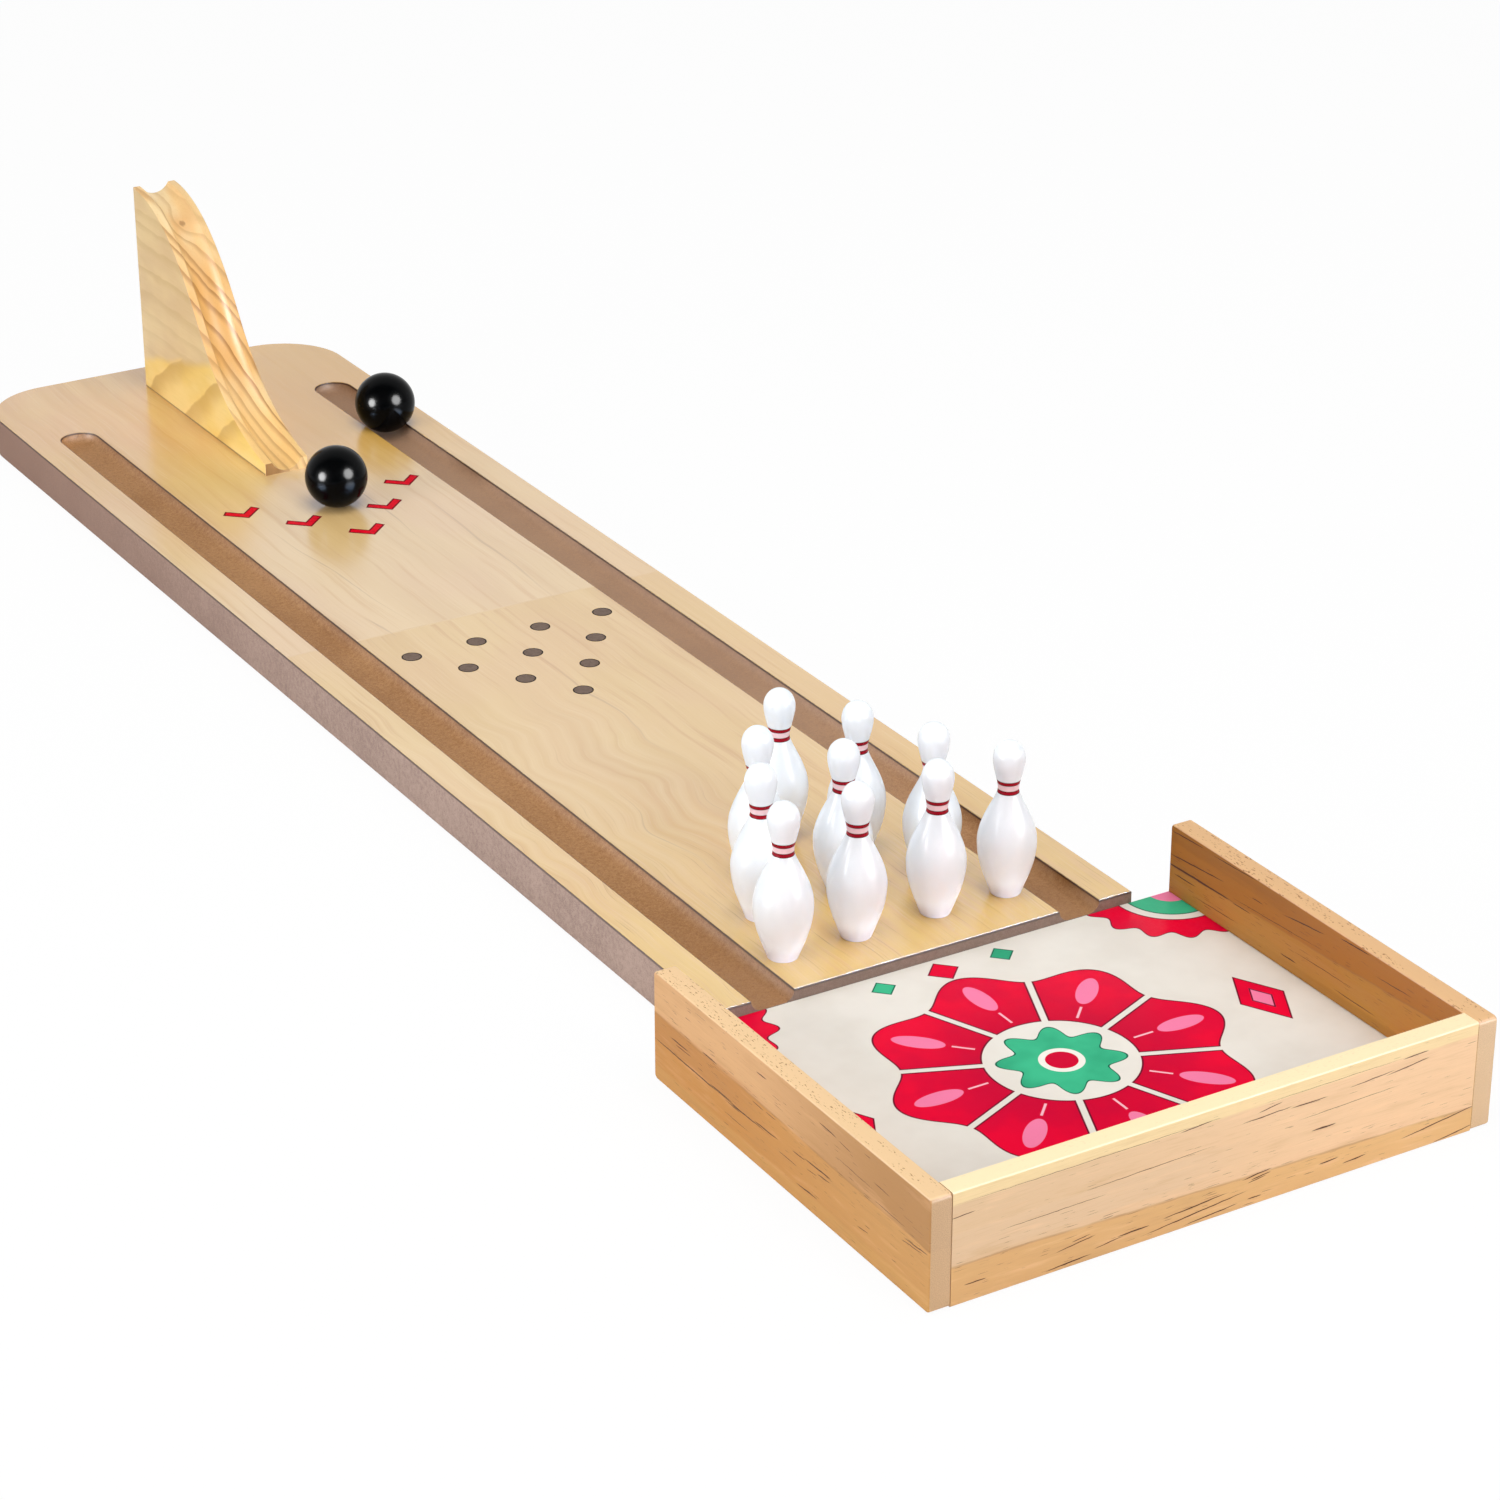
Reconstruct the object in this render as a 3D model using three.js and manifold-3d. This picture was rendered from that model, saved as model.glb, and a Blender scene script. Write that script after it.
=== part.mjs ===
// Tabletop bowling game. A thick lane board has a gutter routed along each side. A catching tray
// stands against its near end, a solid ball ramp and two balls stand on the lane, and ten turned pins
// are set up at the tray's end.
//
// Millimetres, +Z up. The tray is at -Y and the ramp at +Y, so a ball rolls towards -Y. The origin
// lies on the table, in the middle of the rectangle that the whole game covers.

import * as THREE from 'three';
import { mergeVertices } from 'three/addons/utils/BufferGeometryUtils.js';
import Module from 'manifold-3d';

const wasm = await Module();
wasm.setup();

// Lane board
const LANE_LENGTH = 945;
const LANE_WIDTH = 240;
const LANE_THICKNESS = 25;
const LANE_CORNER_RADIUS = 45;

// Gutters: how much board is left outside each one and past its round far end
const GUTTER_WIDTH = 24;
const GUTTER_DEPTH = 6;
const GUTTER_COVE_RADIUS = 6;
const GUTTER_SIDE_LAND = 19.5;
const GUTTER_END_LAND = 89;

// Catching tray
const TRAY_WIDTH = 307;
const TRAY_LENGTH = 235;
const TRAY_JOINT_GAP = 0.3;
const WALL_HEIGHT = 57;
const WALL_THICKNESS = 11;
const WALL_CORNER_RADIUS = 2.5;
const WALL_EDGE_EASING = 0.8;
const FLOOR_THICKNESS = 4;
const FLOOR_GROOVE_DEPTH = 5;
const RAIL_THICKNESS = 11;

// Hidden dowels in the tray's joints
const DOWEL_DIAMETER = 6;
const DOWEL_LENGTH = 22;
const DOWEL_END_CHAMFER = 0.8;

// Room between a cut and the piece that sits in it
const FIT_CLEARANCE = 0.3;

// Ball ramp: a plank on edge, its top sawn to an S and grooved for the ball
const RAMP_LENGTH = 184;
const RAMP_HEIGHT = 135;
const RAMP_WIDTH = 29;
const RAMP_FOOT_HEIGHT = 7.6;
const RAMP_EDGE_EASING = 0.6;
const RAMP_GROOVE_RADIUS = 11;
const RAMP_GROOVE_DEPTH = 6;
const RAMP_BACK_LAND = 34;

// Balls, with the small flats that turning leaves at their two poles
const BALL_DIAMETER = 38;
const BALL_POLE_FLAT = 3;
const LANE_BALL_AHEAD_OF_RAMP = 66;
const LANE_BALL_OFFSET = 2.8;
const GUTTER_BALL_AHEAD_OF_END = 88;

// Pins
const PIN_HEIGHT = 83;
const PIN_BASE_DIAMETER = 15.6;
const PIN_BELLY_DIAMETER = 29.8;
const PIN_NECK_DIAMETER = 10.5;
const PIN_HEAD_DIAMETER = 16.2;
const PIN_BASE_ROUNDING = 0.8;
const PIN_PITCH = 43;
const FIRST_PIN_ROW_DISTANCE = 31;

// How far cutting shapes run past what they cut
const OVERRUN = 5;

// Heights and cutter places on the pin, as shares of its height
const bellyHeightShare = 0.345;
const neckHeightShare = 0.69;
const headHeightShare = 0.89;
const pinHandleShares = {
  baseRise: 0.13,
  bellyBelow: 0.22,
  bellyAbove: 0.49,
  neckBelow: 0.63,
  neckAbove: 0.75,
  headBelow: 0.82,
  headAbove: 0.95,
};

// How far the base's handle has swelled towards the belly, and the crown's flat share of the head
const baseSwellShare = 0.51;
const crownFlatShare = 0.58;

// The ramp's S, as shares of its length from the foot and of its height: handles and turning point
const rampCurveShares = {
  footHandle: [0.245, 0.122],
  lowHandle: [0.391, 0.296],
  turn: [0.5, 0.519],
  highHandle: [0.609, 0.741],
  topHandle: [0.761, 0.993],
};

// Places of the hand-set pins: across in pin pitches, and along in rows behind the first row
const pinPlaceShares = [
  [-1.49, 0],
  [-0.52, 0],
  [0.56, 0.02],
  [1.53, 0.02],
  [-1.21, 1.1],
  [-0.07, 1.17],
  [1.06, 1],
  [-0.73, 2.1],
  [0.62, 2.09],
  [0.02, 2.97],
];

// How much of the wall's thickness a dowel enters, and how high the upper dowel stands
const dowelWallShare = 0.6;
const upperDowelShare = 0.5;

// Numbers of straight steps in the round shapes
const CORNER_STEPS = 10;
const COVE_STEPS = 5;
const GUTTER_END_STEPS = 28;
const DOWEL_SIDES = 12;
const BALL_SIDES = 24;
const BALL_RINGS = 14;
const PIN_SIDES = 20;
const PIN_CURVE_STEPS = 4;
const RAMP_CURVE_STEPS = 14;
const GROOVE_STEPS = 34;
const GROOVE_ARC_STEPS = 14;

// Places that follow from the sizes
const overallLength = LANE_LENGTH + TRAY_JOINT_GAP + TRAY_LENGTH;
const trayFront = -overallLength / 2;
const trayBack = trayFront + TRAY_LENGTH;
const laneNearEnd = trayBack + TRAY_JOINT_GAP;
const laneFarEnd = laneNearEnd + LANE_LENGTH;
const laneTop = LANE_THICKNESS;
const gutterCentre = LANE_WIDTH / 2 - GUTTER_SIDE_LAND - GUTTER_WIDTH / 2;
const floorTop = laneTop - GUTTER_DEPTH;
const floorUnderside = floorTop - FLOOR_THICKNESS;
const trayInnerWidth = TRAY_WIDTH - 2 * WALL_THICKNESS;
const ballRadius = BALL_DIAMETER / 2;
const pinRowPitch = PIN_PITCH * Math.sin(Math.PI / 3);

const X = new THREE.Vector3(1, 0, 0);
const Y = new THREE.Vector3(0, 1, 0);
const Z = new THREE.Vector3(0, 0, 1);

// Turns an outline drawn in X and Y, and extruded along Z, so that it is drawn in Y and Z instead
const drawnInYZ = new THREE.Matrix4().makeBasis(Y, Z, X);

// The same for an outline that is drawn in X and Z and extruded towards -Y
const drawnInXZ = new THREE.Matrix4().makeBasis(X, Z, Y.clone().negate());

const finishes = {
  laneMaple: { color: 0xe5caa5, roughness: 0.35, metalness: 0 },
  wallPine: { color: 0xdcb07c, roughness: 0.6, metalness: 0 },
  frontPine: { color: 0xe8c49a, roughness: 0.6, metalness: 0 },
  floorPrint: { color: 0xe9e5db, roughness: 0.45, metalness: 0 },
  dowelBeech: { color: 0xd8b68a, roughness: 0.7, metalness: 0 },
  rampPine: { color: 0xf0c88a, roughness: 0.5, metalness: 0 },
  ballLacquer: { color: 0x0b0b0d, roughness: 0.12, metalness: 0 },
  pinLacquer: { color: 0xf6f4f1, roughness: 0.2, metalness: 0 },
};

// Makes a closed solid of a geometry: one corner where several meet, and no triangle without area
function solid(geometry) {
  const bare = geometry.clone();
  bare.deleteAttribute('normal');
  bare.deleteAttribute('uv');
  const welded = mergeVertices(bare);
  const corners = welded.index.array;
  const kept = [];
  for (let i = 0; i < corners.length; i += 3) {
    const [a, b, c] = corners.slice(i, i + 3);
    if (a !== b && b !== c && c !== a) {
      kept.push(a, b, c);
    }
  }
  const vertProperties = new Float32Array(welded.attributes.position.array);
  const triVerts = new Uint32Array(kept);
  return new wasm.Manifold(new wasm.Mesh({ numProp: 3, vertProperties, triVerts }));
}

// Turns a solid back into a geometry
function geometryOf(body) {
  const { vertProperties, triVerts } = body.getMesh();
  const geometry = new THREE.BufferGeometry();
  geometry.setAttribute('position', new THREE.BufferAttribute(vertProperties, 3));
  geometry.setIndex(new THREE.BufferAttribute(triVerts, 1));
  geometry.computeVertexNormals();
  return geometry;
}

function piece(name, body, finish, place = [0, 0, 0]) {
  const mesh = new THREE.Mesh(geometryOf(body), new THREE.MeshStandardMaterial(finish));
  mesh.name = name;
  mesh.position.set(...place);
  return mesh;
}

// A rectangle with one corner at the origin, its corners rounded by a radius
function roundedRectangle(length, height, radius) {
  const shape = new THREE.Shape();
  shape.moveTo(radius, 0);
  shape.lineTo(length - radius, 0);
  shape.absarc(length - radius, radius, radius, -Math.PI / 2, 0);
  shape.lineTo(length, height - radius);
  shape.absarc(length - radius, height - radius, radius, 0, Math.PI / 2);
  shape.lineTo(radius, height);
  shape.absarc(radius, height - radius, radius, Math.PI / 2, Math.PI);
  shape.lineTo(0, radius);
  shape.absarc(radius, radius, radius, Math.PI, 1.5 * Math.PI);
  return shape;
}

// A board of a given thickness whose long edges are eased by a small bevel
function easedBoard(shape, thickness, easing, steps) {
  const geometry = new THREE.ExtrudeGeometry(shape, {
    depth: thickness - 2 * easing,
    curveSegments: steps,
    bevelEnabled: true,
    bevelThickness: easing,
    bevelSize: easing,
    bevelOffset: -easing,
    bevelSegments: 1,
  });
  return geometry.translate(0, 0, easing);
}

function block(width, length, height, x, y, z) {
  const geometry = new THREE.BoxGeometry(width, length, height);
  return solid(geometry.translate(x, y, z));
}

// A round bar along X, its middle at a place
function roundBar(diameter, length, x, y, z, chamfer = 0) {
  const radius = diameter / 2;
  const profile = [
    new THREE.Vector2(0, -length / 2),
    new THREE.Vector2(radius - chamfer, -length / 2),
    new THREE.Vector2(radius, -length / 2 + chamfer),
    new THREE.Vector2(radius, length / 2 - chamfer),
    new THREE.Vector2(radius - chamfer, length / 2),
    new THREE.Vector2(0, length / 2),
  ];
  const geometry = new THREE.LatheGeometry(profile, DOWEL_SIDES);
  return solid(geometry.rotateZ(Math.PI / 2).translate(x, y, z));
}

// Lane board

function laneOutline() {
  const half = LANE_WIDTH / 2;
  const shape = new THREE.Shape();
  shape.moveTo(-half, 0);
  shape.lineTo(half, 0);
  shape.lineTo(half, LANE_LENGTH - LANE_CORNER_RADIUS);
  shape.absarc(
    half - LANE_CORNER_RADIUS, LANE_LENGTH - LANE_CORNER_RADIUS, LANE_CORNER_RADIUS, 0, Math.PI / 2,
  );
  shape.lineTo(-half + LANE_CORNER_RADIUS, LANE_LENGTH);
  shape.absarc(
    -half + LANE_CORNER_RADIUS, LANE_LENGTH - LANE_CORNER_RADIUS, LANE_CORNER_RADIUS,
    Math.PI / 2, Math.PI,
  );
  return shape;
}

// Half the outline of the gutter's cutter, from the axis at its tip up to past the board's face
function gutterCutterProfile() {
  const radius = Math.min(GUTTER_COVE_RADIUS, GUTTER_DEPTH, GUTTER_WIDTH / 2);
  const path = new THREE.Path();
  path.moveTo(0, -GUTTER_DEPTH);
  path.lineTo(GUTTER_WIDTH / 2 - radius, -GUTTER_DEPTH);
  path.absarc(GUTTER_WIDTH / 2 - radius, radius - GUTTER_DEPTH, radius, -Math.PI / 2, 0);
  path.lineTo(GUTTER_WIDTH / 2, OVERRUN);
  path.lineTo(0, OVERRUN);
  return path.getPoints(COVE_STEPS);
}

// The way of the cutter along one gutter, from past the open end to its stop at the far end
function gutterCut(centre) {
  const profile = gutterCutterProfile();
  const mirrored = profile.map((point) => new THREE.Vector2(-point.x, point.y)).reverse();
  const shape = new THREE.Shape([...profile, ...mirrored]);
  const stop = LANE_LENGTH - GUTTER_END_LAND - GUTTER_WIDTH / 2;
  const run = new THREE.ExtrudeGeometry(shape, { depth: stop + OVERRUN, bevelEnabled: false });
  run.applyMatrix4(drawnInXZ).translate(0, stop, 0);
  const tip = new THREE.LatheGeometry(profile, GUTTER_END_STEPS);
  tip.rotateX(Math.PI / 2).translate(0, stop, 0);
  return solid(run).add(solid(tip)).translate([centre, 0, LANE_THICKNESS]);
}

function laneBoard() {
  const slab = new THREE.ExtrudeGeometry(laneOutline(), {
    depth: LANE_THICKNESS, curveSegments: CORNER_STEPS, bevelEnabled: false,
  });
  return solid(slab).subtract(gutterCut(-gutterCentre)).subtract(gutterCut(gutterCentre));
}

// Tray

// A side wall: its outline stands in Y and Z, its inner face has the floor's groove and dowel holes.
// side is -1 for the left wall and 1 for the right one
function sideWall(side) {
  const outline = roundedRectangle(TRAY_LENGTH, WALL_HEIGHT, WALL_CORNER_RADIUS);
  const board = easedBoard(outline, WALL_THICKNESS, WALL_EDGE_EASING, COVE_STEPS);
  board.applyMatrix4(drawnInYZ).translate(-WALL_THICKNESS / 2, 0, 0);
  const innerFace = -side * WALL_THICKNESS / 2;
  const grooveStart = WALL_THICKNESS - FLOOR_GROOVE_DEPTH;
  const grooveLength = TRAY_LENGTH + OVERRUN - grooveStart;
  const groove = block(
    2 * FLOOR_GROOVE_DEPTH, grooveLength, FLOOR_THICKNESS + FIT_CLEARANCE,
    innerFace, grooveStart + grooveLength / 2, floorUnderside + (FLOOR_THICKNESS + FIT_CLEARANCE) / 2,
  );
  let wall = solid(board).subtract(groove);
  for (const { y, z } of dowelPlaces) {
    wall = wall.subtract(dowelHole(innerFace + side * dowelSink, -side, y, z));
  }
  return wall;
}

// How far a dowel enters the side wall, and where the dowels stand along and above the tray's corner
const dowelSink = WALL_THICKNESS * dowelWallShare;
const lowerDowelHeight = floorUnderside / 2;
const upperDowelHeight = floorTop + (WALL_HEIGHT - floorTop) * upperDowelShare;
const dowelPlaces = [
  { name: 'corner_dowel_lower', y: WALL_THICKNESS / 2, z: lowerDowelHeight },
  { name: 'corner_dowel_upper', y: WALL_THICKNESS / 2, z: upperDowelHeight },
  { name: 'rail_dowel', y: TRAY_LENGTH - RAIL_THICKNESS / 2, z: lowerDowelHeight },
];

// A dowel's hole: it ends past the dowel's tip at x, and runs the dowel's length and more towards
// direction
function dowelHole(x, direction, y, z) {
  const start = x - direction * FIT_CLEARANCE;
  const length = DOWEL_LENGTH + 2 * FIT_CLEARANCE;
  const diameter = DOWEL_DIAMETER + 2 * FIT_CLEARANCE;
  return roundBar(diameter, length, start + direction * length / 2, y, z);
}

// Cuts the two ends of a crosspiece that stands between the side walls for their dowels
function boredForDowels(crosspiece, places) {
  let bored = crosspiece;
  for (const side of [-1, 1]) {
    for (const { y, z } of places) {
      const tip = side * (trayInnerWidth / 2 + dowelSink);
      bored = bored.subtract(dowelHole(tip, -side, y, z));
    }
  }
  return bored;
}

// The front wall stands between the side walls, so only its long edges are eased
function frontWall() {
  const outline = roundedRectangle(WALL_THICKNESS, WALL_HEIGHT, WALL_EDGE_EASING);
  const board = new THREE.ExtrudeGeometry(outline, {
    depth: trayInnerWidth, curveSegments: 1, bevelEnabled: false,
  });
  board.applyMatrix4(drawnInYZ).translate(-trayInnerWidth / 2, 0, 0);
  const groove = block(
    trayInnerWidth + OVERRUN, 2 * FLOOR_GROOVE_DEPTH, FLOOR_THICKNESS + FIT_CLEARANCE,
    0, WALL_THICKNESS, floorUnderside + (FLOOR_THICKNESS + FIT_CLEARANCE) / 2,
  );
  return boredForDowels(solid(board).subtract(groove), dowelPlaces.slice(0, 2));
}

// The floor slides into the three grooves from the open end and stops short of their bottoms
function trayFloor() {
  const tongue = FLOOR_GROOVE_DEPTH - FIT_CLEARANCE;
  const length = TRAY_LENGTH - WALL_THICKNESS + tongue;
  return block(
    trayInnerWidth + 2 * tongue, length, FLOOR_THICKNESS,
    0, TRAY_LENGTH - length / 2, floorTop - FLOOR_THICKNESS / 2,
  );
}

// The rail stiffens the floor's open edge from below
function rearRail() {
  const rail = block(
    trayInnerWidth, RAIL_THICKNESS, floorUnderside,
    0, TRAY_LENGTH - RAIL_THICKNESS / 2, floorUnderside / 2,
  );
  return boredForDowels(rail, dowelPlaces.slice(2));
}

function tray() {
  const group = new THREE.Group();
  const wallCentre = (TRAY_WIDTH - WALL_THICKNESS) / 2;
  group.add(piece('tray_left_wall', sideWall(-1), finishes.wallPine, [-wallCentre, 0, 0]));
  group.add(piece('tray_right_wall', sideWall(1), finishes.wallPine, [wallCentre, 0, 0]));
  group.add(piece('tray_front_wall', frontWall(), finishes.frontPine));
  group.add(piece('tray_floor', trayFloor(), finishes.floorPrint));
  group.add(piece('tray_rear_rail', rearRail(), finishes.wallPine));
  for (const [hand, side] of [['left', -1], ['right', 1]]) {
    const dowelCentre = side * (trayInnerWidth / 2 + dowelSink - DOWEL_LENGTH / 2);
    for (const { name, y, z } of dowelPlaces) {
      const dowel = roundBar(DOWEL_DIAMETER, DOWEL_LENGTH, 0, 0, 0, DOWEL_END_CHAMFER);
      group.add(piece(`${hand}_${name}`, dowel, finishes.dowelBeech, [dowelCentre, y, z]));
    }
  }
  return group;
}

// Ball ramp

// The S of the ramp's top, from the foot at y = 0 up to the back
function rampCurve() {
  const at = ([along, up]) => new THREE.Vector2(along * RAMP_LENGTH, up * RAMP_HEIGHT);
  const foot = new THREE.Vector2(0, RAMP_FOOT_HEIGHT);
  const turn = at(rampCurveShares.turn);
  const top = new THREE.Vector2(RAMP_LENGTH, RAMP_HEIGHT);
  const curve = new THREE.CurvePath();
  curve.add(new THREE.CubicBezierCurve(
    foot, at(rampCurveShares.footHandle), at(rampCurveShares.lowHandle), turn,
  ));
  curve.add(new THREE.CubicBezierCurve(
    turn, at(rampCurveShares.highHandle), at(rampCurveShares.topHandle), top,
  ));
  return curve;
}

// The groove's cutter is a round bar whose axis follows the S at a steady height above it
function grooveCut() {
  const curve = rampCurve();
  const lift = RAMP_GROOVE_RADIUS - RAMP_GROOVE_DEPTH;
  const axis = [];
  for (let step = 0; step <= GROOVE_STEPS; step += 1) {
    const share = step / GROOVE_STEPS;
    const point = curve.getPointAt(share);
    const along = curve.getTangentAt(share);
    const place = new THREE.Vector3(0, point.x - along.y * lift, point.y + along.x * lift);
    const way = new THREE.Vector3(0, along.x, along.y).multiplyScalar(OVERRUN);
    if (step === 0) {
      axis.push(place.clone().sub(way));
    }
    axis.push(place);
    if (step === GROOVE_STEPS) {
      axis.push(place.clone().add(way));
    }
  }
  const section = new THREE.Shape().absarc(0, 0, RAMP_GROOVE_RADIUS, 0, 2 * Math.PI);
  const bar = new THREE.ExtrudeGeometry(section, {
    extrudePath: new THREE.CatmullRomCurve3(axis),
    steps: GROOVE_STEPS,
    curveSegments: GROOVE_ARC_STEPS,
  });
  return solid(bar);
}

function ballRamp() {
  const outline = new THREE.Shape();
  outline.moveTo(0, 0);
  outline.lineTo(RAMP_LENGTH, 0);
  const rise = rampCurve().getPoints(RAMP_CURVE_STEPS).reverse();
  for (const point of rise) {
    outline.lineTo(point.x, point.y);
  }
  const plank = easedBoard(outline, RAMP_WIDTH, RAMP_EDGE_EASING, 1);
  plank.applyMatrix4(drawnInYZ).translate(-RAMP_WIDTH / 2, 0, 0);
  return solid(plank).subtract(grooveCut());
}

// Balls

const ballPoleHeight = Math.sqrt(ballRadius ** 2 - (BALL_POLE_FLAT / 2) ** 2);

function ball() {
  const poleAngle = Math.asin(BALL_POLE_FLAT / BALL_DIAMETER);
  const profile = [new THREE.Vector2(0, -ballPoleHeight)];
  for (let ring = 0; ring <= BALL_RINGS; ring += 1) {
    const angle = poleAngle + (Math.PI - 2 * poleAngle) * ring / BALL_RINGS;
    profile.push(new THREE.Vector2(ballRadius * Math.sin(angle), -ballRadius * Math.cos(angle)));
  }
  profile.push(new THREE.Vector2(0, ballPoleHeight));
  return solid(new THREE.LatheGeometry(profile, BALL_SIDES).rotateX(Math.PI / 2));
}

// Pins

// The turned profile: swelling from the base to the belly, drawn in to the neck, then the head
function pinProfile() {
  const base = PIN_BASE_DIAMETER / 2;
  const belly = PIN_BELLY_DIAMETER / 2;
  const neck = PIN_NECK_DIAMETER / 2;
  const head = PIN_HEAD_DIAMETER / 2;
  const swell = base + (belly - base) * baseSwellShare;
  const up = (share) => share * PIN_HEIGHT;
  const path = new THREE.Path();
  path.moveTo(0, 0);
  path.lineTo(base - PIN_BASE_ROUNDING, 0);
  path.lineTo(base, PIN_BASE_ROUNDING);
  path.bezierCurveTo(
    swell, up(pinHandleShares.baseRise), belly, up(pinHandleShares.bellyBelow),
    belly, up(bellyHeightShare),
  );
  path.bezierCurveTo(
    belly, up(pinHandleShares.bellyAbove), neck, up(pinHandleShares.neckBelow),
    neck, up(neckHeightShare),
  );
  path.bezierCurveTo(
    neck, up(pinHandleShares.neckAbove), head, up(pinHandleShares.headBelow),
    head, up(headHeightShare),
  );
  path.bezierCurveTo(
    head, up(pinHandleShares.headAbove), head * crownFlatShare, PIN_HEIGHT,
    0, PIN_HEIGHT,
  );
  return path.getPoints(PIN_CURVE_STEPS);
}

function pin() {
  return solid(new THREE.LatheGeometry(pinProfile(), PIN_SIDES).rotateX(Math.PI / 2));
}

// Assembly

const game = new THREE.Group();
game.add(piece('lane_board', laneBoard(), finishes.laneMaple, [0, laneNearEnd, 0]));

const catchingTray = tray();
catchingTray.position.set(0, trayFront, 0);
game.add(catchingTray);

const rampFoot = laneFarEnd - RAMP_BACK_LAND - RAMP_LENGTH;
game.add(piece('ball_ramp', ballRamp(), finishes.rampPine, [0, rampFoot, laneTop]));

// One ball lies on the lane on its pole flat. The other lies in the right gutter, on its two edges
const laneBallPlace = [LANE_BALL_OFFSET, rampFoot - LANE_BALL_AHEAD_OF_RAMP, laneTop + ballPoleHeight];
const gutterFarEnd = laneFarEnd - GUTTER_END_LAND;
const gutterBallRise = Math.sqrt((ballRadius + FIT_CLEARANCE) ** 2 - (GUTTER_WIDTH / 2) ** 2);
const gutterBallPlace = [gutterCentre, gutterFarEnd - GUTTER_BALL_AHEAD_OF_END, laneTop + gutterBallRise];
game.add(piece('ball_1', ball(), finishes.ballLacquer, laneBallPlace));
game.add(piece('ball_2', ball(), finishes.ballLacquer, gutterBallPlace));

const rack = new THREE.Group();
rack.position.set(0, laneNearEnd + FIRST_PIN_ROW_DISTANCE, laneTop);
pinPlaceShares.forEach(([across, back], index) => {
  const name = `pin_${String(index + 1).padStart(2, '0')}`;
  rack.add(piece(name, pin(), finishes.pinLacquer, [across * PIN_PITCH, back * pinRowPitch, 0]));
});
game.add(rack);

export default game;
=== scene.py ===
# %% [markdown]
# # A tabletop bowling game
# The game is a long fibreboard lane with a printed maple top, a shallow pine tray that catches
# the pins, a sawn pine ramp, two black balls and ten white turned pins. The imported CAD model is
# the fixed frame: it says where every piece is and how big it is. This script dresses it. Each
# visible piece is made again with finer roundings and its own finish, and rides on the body of
# the piece it stands for.

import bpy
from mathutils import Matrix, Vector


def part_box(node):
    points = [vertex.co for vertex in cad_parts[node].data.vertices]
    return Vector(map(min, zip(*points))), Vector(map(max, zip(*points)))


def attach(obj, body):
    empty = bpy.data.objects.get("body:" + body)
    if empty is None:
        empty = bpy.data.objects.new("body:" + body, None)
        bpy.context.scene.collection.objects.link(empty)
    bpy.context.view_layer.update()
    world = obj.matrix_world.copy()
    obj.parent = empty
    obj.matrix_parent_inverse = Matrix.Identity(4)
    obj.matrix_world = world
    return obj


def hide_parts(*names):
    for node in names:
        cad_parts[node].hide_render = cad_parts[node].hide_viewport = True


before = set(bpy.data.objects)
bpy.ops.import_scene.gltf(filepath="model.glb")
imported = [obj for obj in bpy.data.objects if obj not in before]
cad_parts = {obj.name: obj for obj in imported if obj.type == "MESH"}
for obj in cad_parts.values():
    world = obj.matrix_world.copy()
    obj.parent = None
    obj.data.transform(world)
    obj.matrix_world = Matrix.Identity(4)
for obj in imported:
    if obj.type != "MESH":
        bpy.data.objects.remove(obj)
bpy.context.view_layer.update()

# %% Tools and the unit
from math import asin, atan, cos, hypot, pi, radians, sin

import bmesh
import bpy
from mathutils import Matrix, Vector

MM = 0.001
print("one millimetre is", MM, "of Blender's metres")

# %% [markdown]
# ## Shader maths
# A finish is a small calculation: where is this point of the surface, is it on a growth ring,
# how dark is that ring. Blender writes such sums as nodes joined by wires. To keep them
# readable they are written here as Python expressions. A Field is one output of one node.
# Adding, multiplying or taking away Fields adds the Math nodes that do so, with the numbers on
# the nodes' own sockets. Four more steps come all the time. A rise turns a value into a share
# that climbs softly from 0 to 1 between two limits, or falls if they are swapped. A spread does
# so over the usual range of noise. A tint lays a share of another colour over a colour, and
# layers does that with a list of them, from the first coat to the last.

# %% One output of a node, used in sums
class Field:
    def __init__(self, finish, socket):
        self.finish, self.socket = finish, socket

    def __add__(self, other):
        return self.finish.maths("ADD", self, other)

    def __sub__(self, other):
        return self.finish.maths("SUBTRACT", self, other)

    def __rsub__(self, other):
        return self.finish.maths("SUBTRACT", other, self)

    def __mul__(self, other):
        return self.finish.maths("MULTIPLY", self, other)

    def __truediv__(self, other):
        return self.finish.maths("DIVIDE", self, other)

    def __mod__(self, other):
        return self.finish.maths("FLOORED_MODULO", self, other)

    def __abs__(self):
        return self.finish.maths("ABSOLUTE", self)

    __radd__ = __add__
    __rmul__ = __mul__

    def rise(self, low, high, bottom=0.0, top=1.0):
        settings = {"interpolation_type": "SMOOTHSTEP"}
        inputs = {"Value": self, "From Min": low, "From Max": high,
                  "To Min": bottom, "To Max": top}
        return self.finish.node("ShaderNodeMapRange", settings, inputs)

    def spread(self, low=0.0, high=1.0):
        return self.rise(0.3, 0.7, low, high)

    def tint(self, share, tone):
        return self.finish.mix(share, self, tone)

    def layers(self, *paints):
        colour = self
        for share, tone in paints:
            colour = colour.tint(share, tone)
        return colour


print("sums of fields become Math nodes")

# %% [markdown]
# A Finish holds one material, or the sky. Its node method makes any node: first the node's
# settings, such as an operation, then the values or wires of its sockets. A colour may be
# written as on the web, six hexadecimal digits, and is turned into linear light. The few
# methods after it are the calls this game's finishes use all the time. Colours are mixed with
# Mix nodes and places are worked out with Vector Math, because a Math node would turn a colour
# grey. The nearest method is for single streaks: a Mapping node turns and scales space until a
# long thin streak is a ball of radius one, so the least length over a list of such spaces says
# whether a point lies in any of the streaks.

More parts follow.
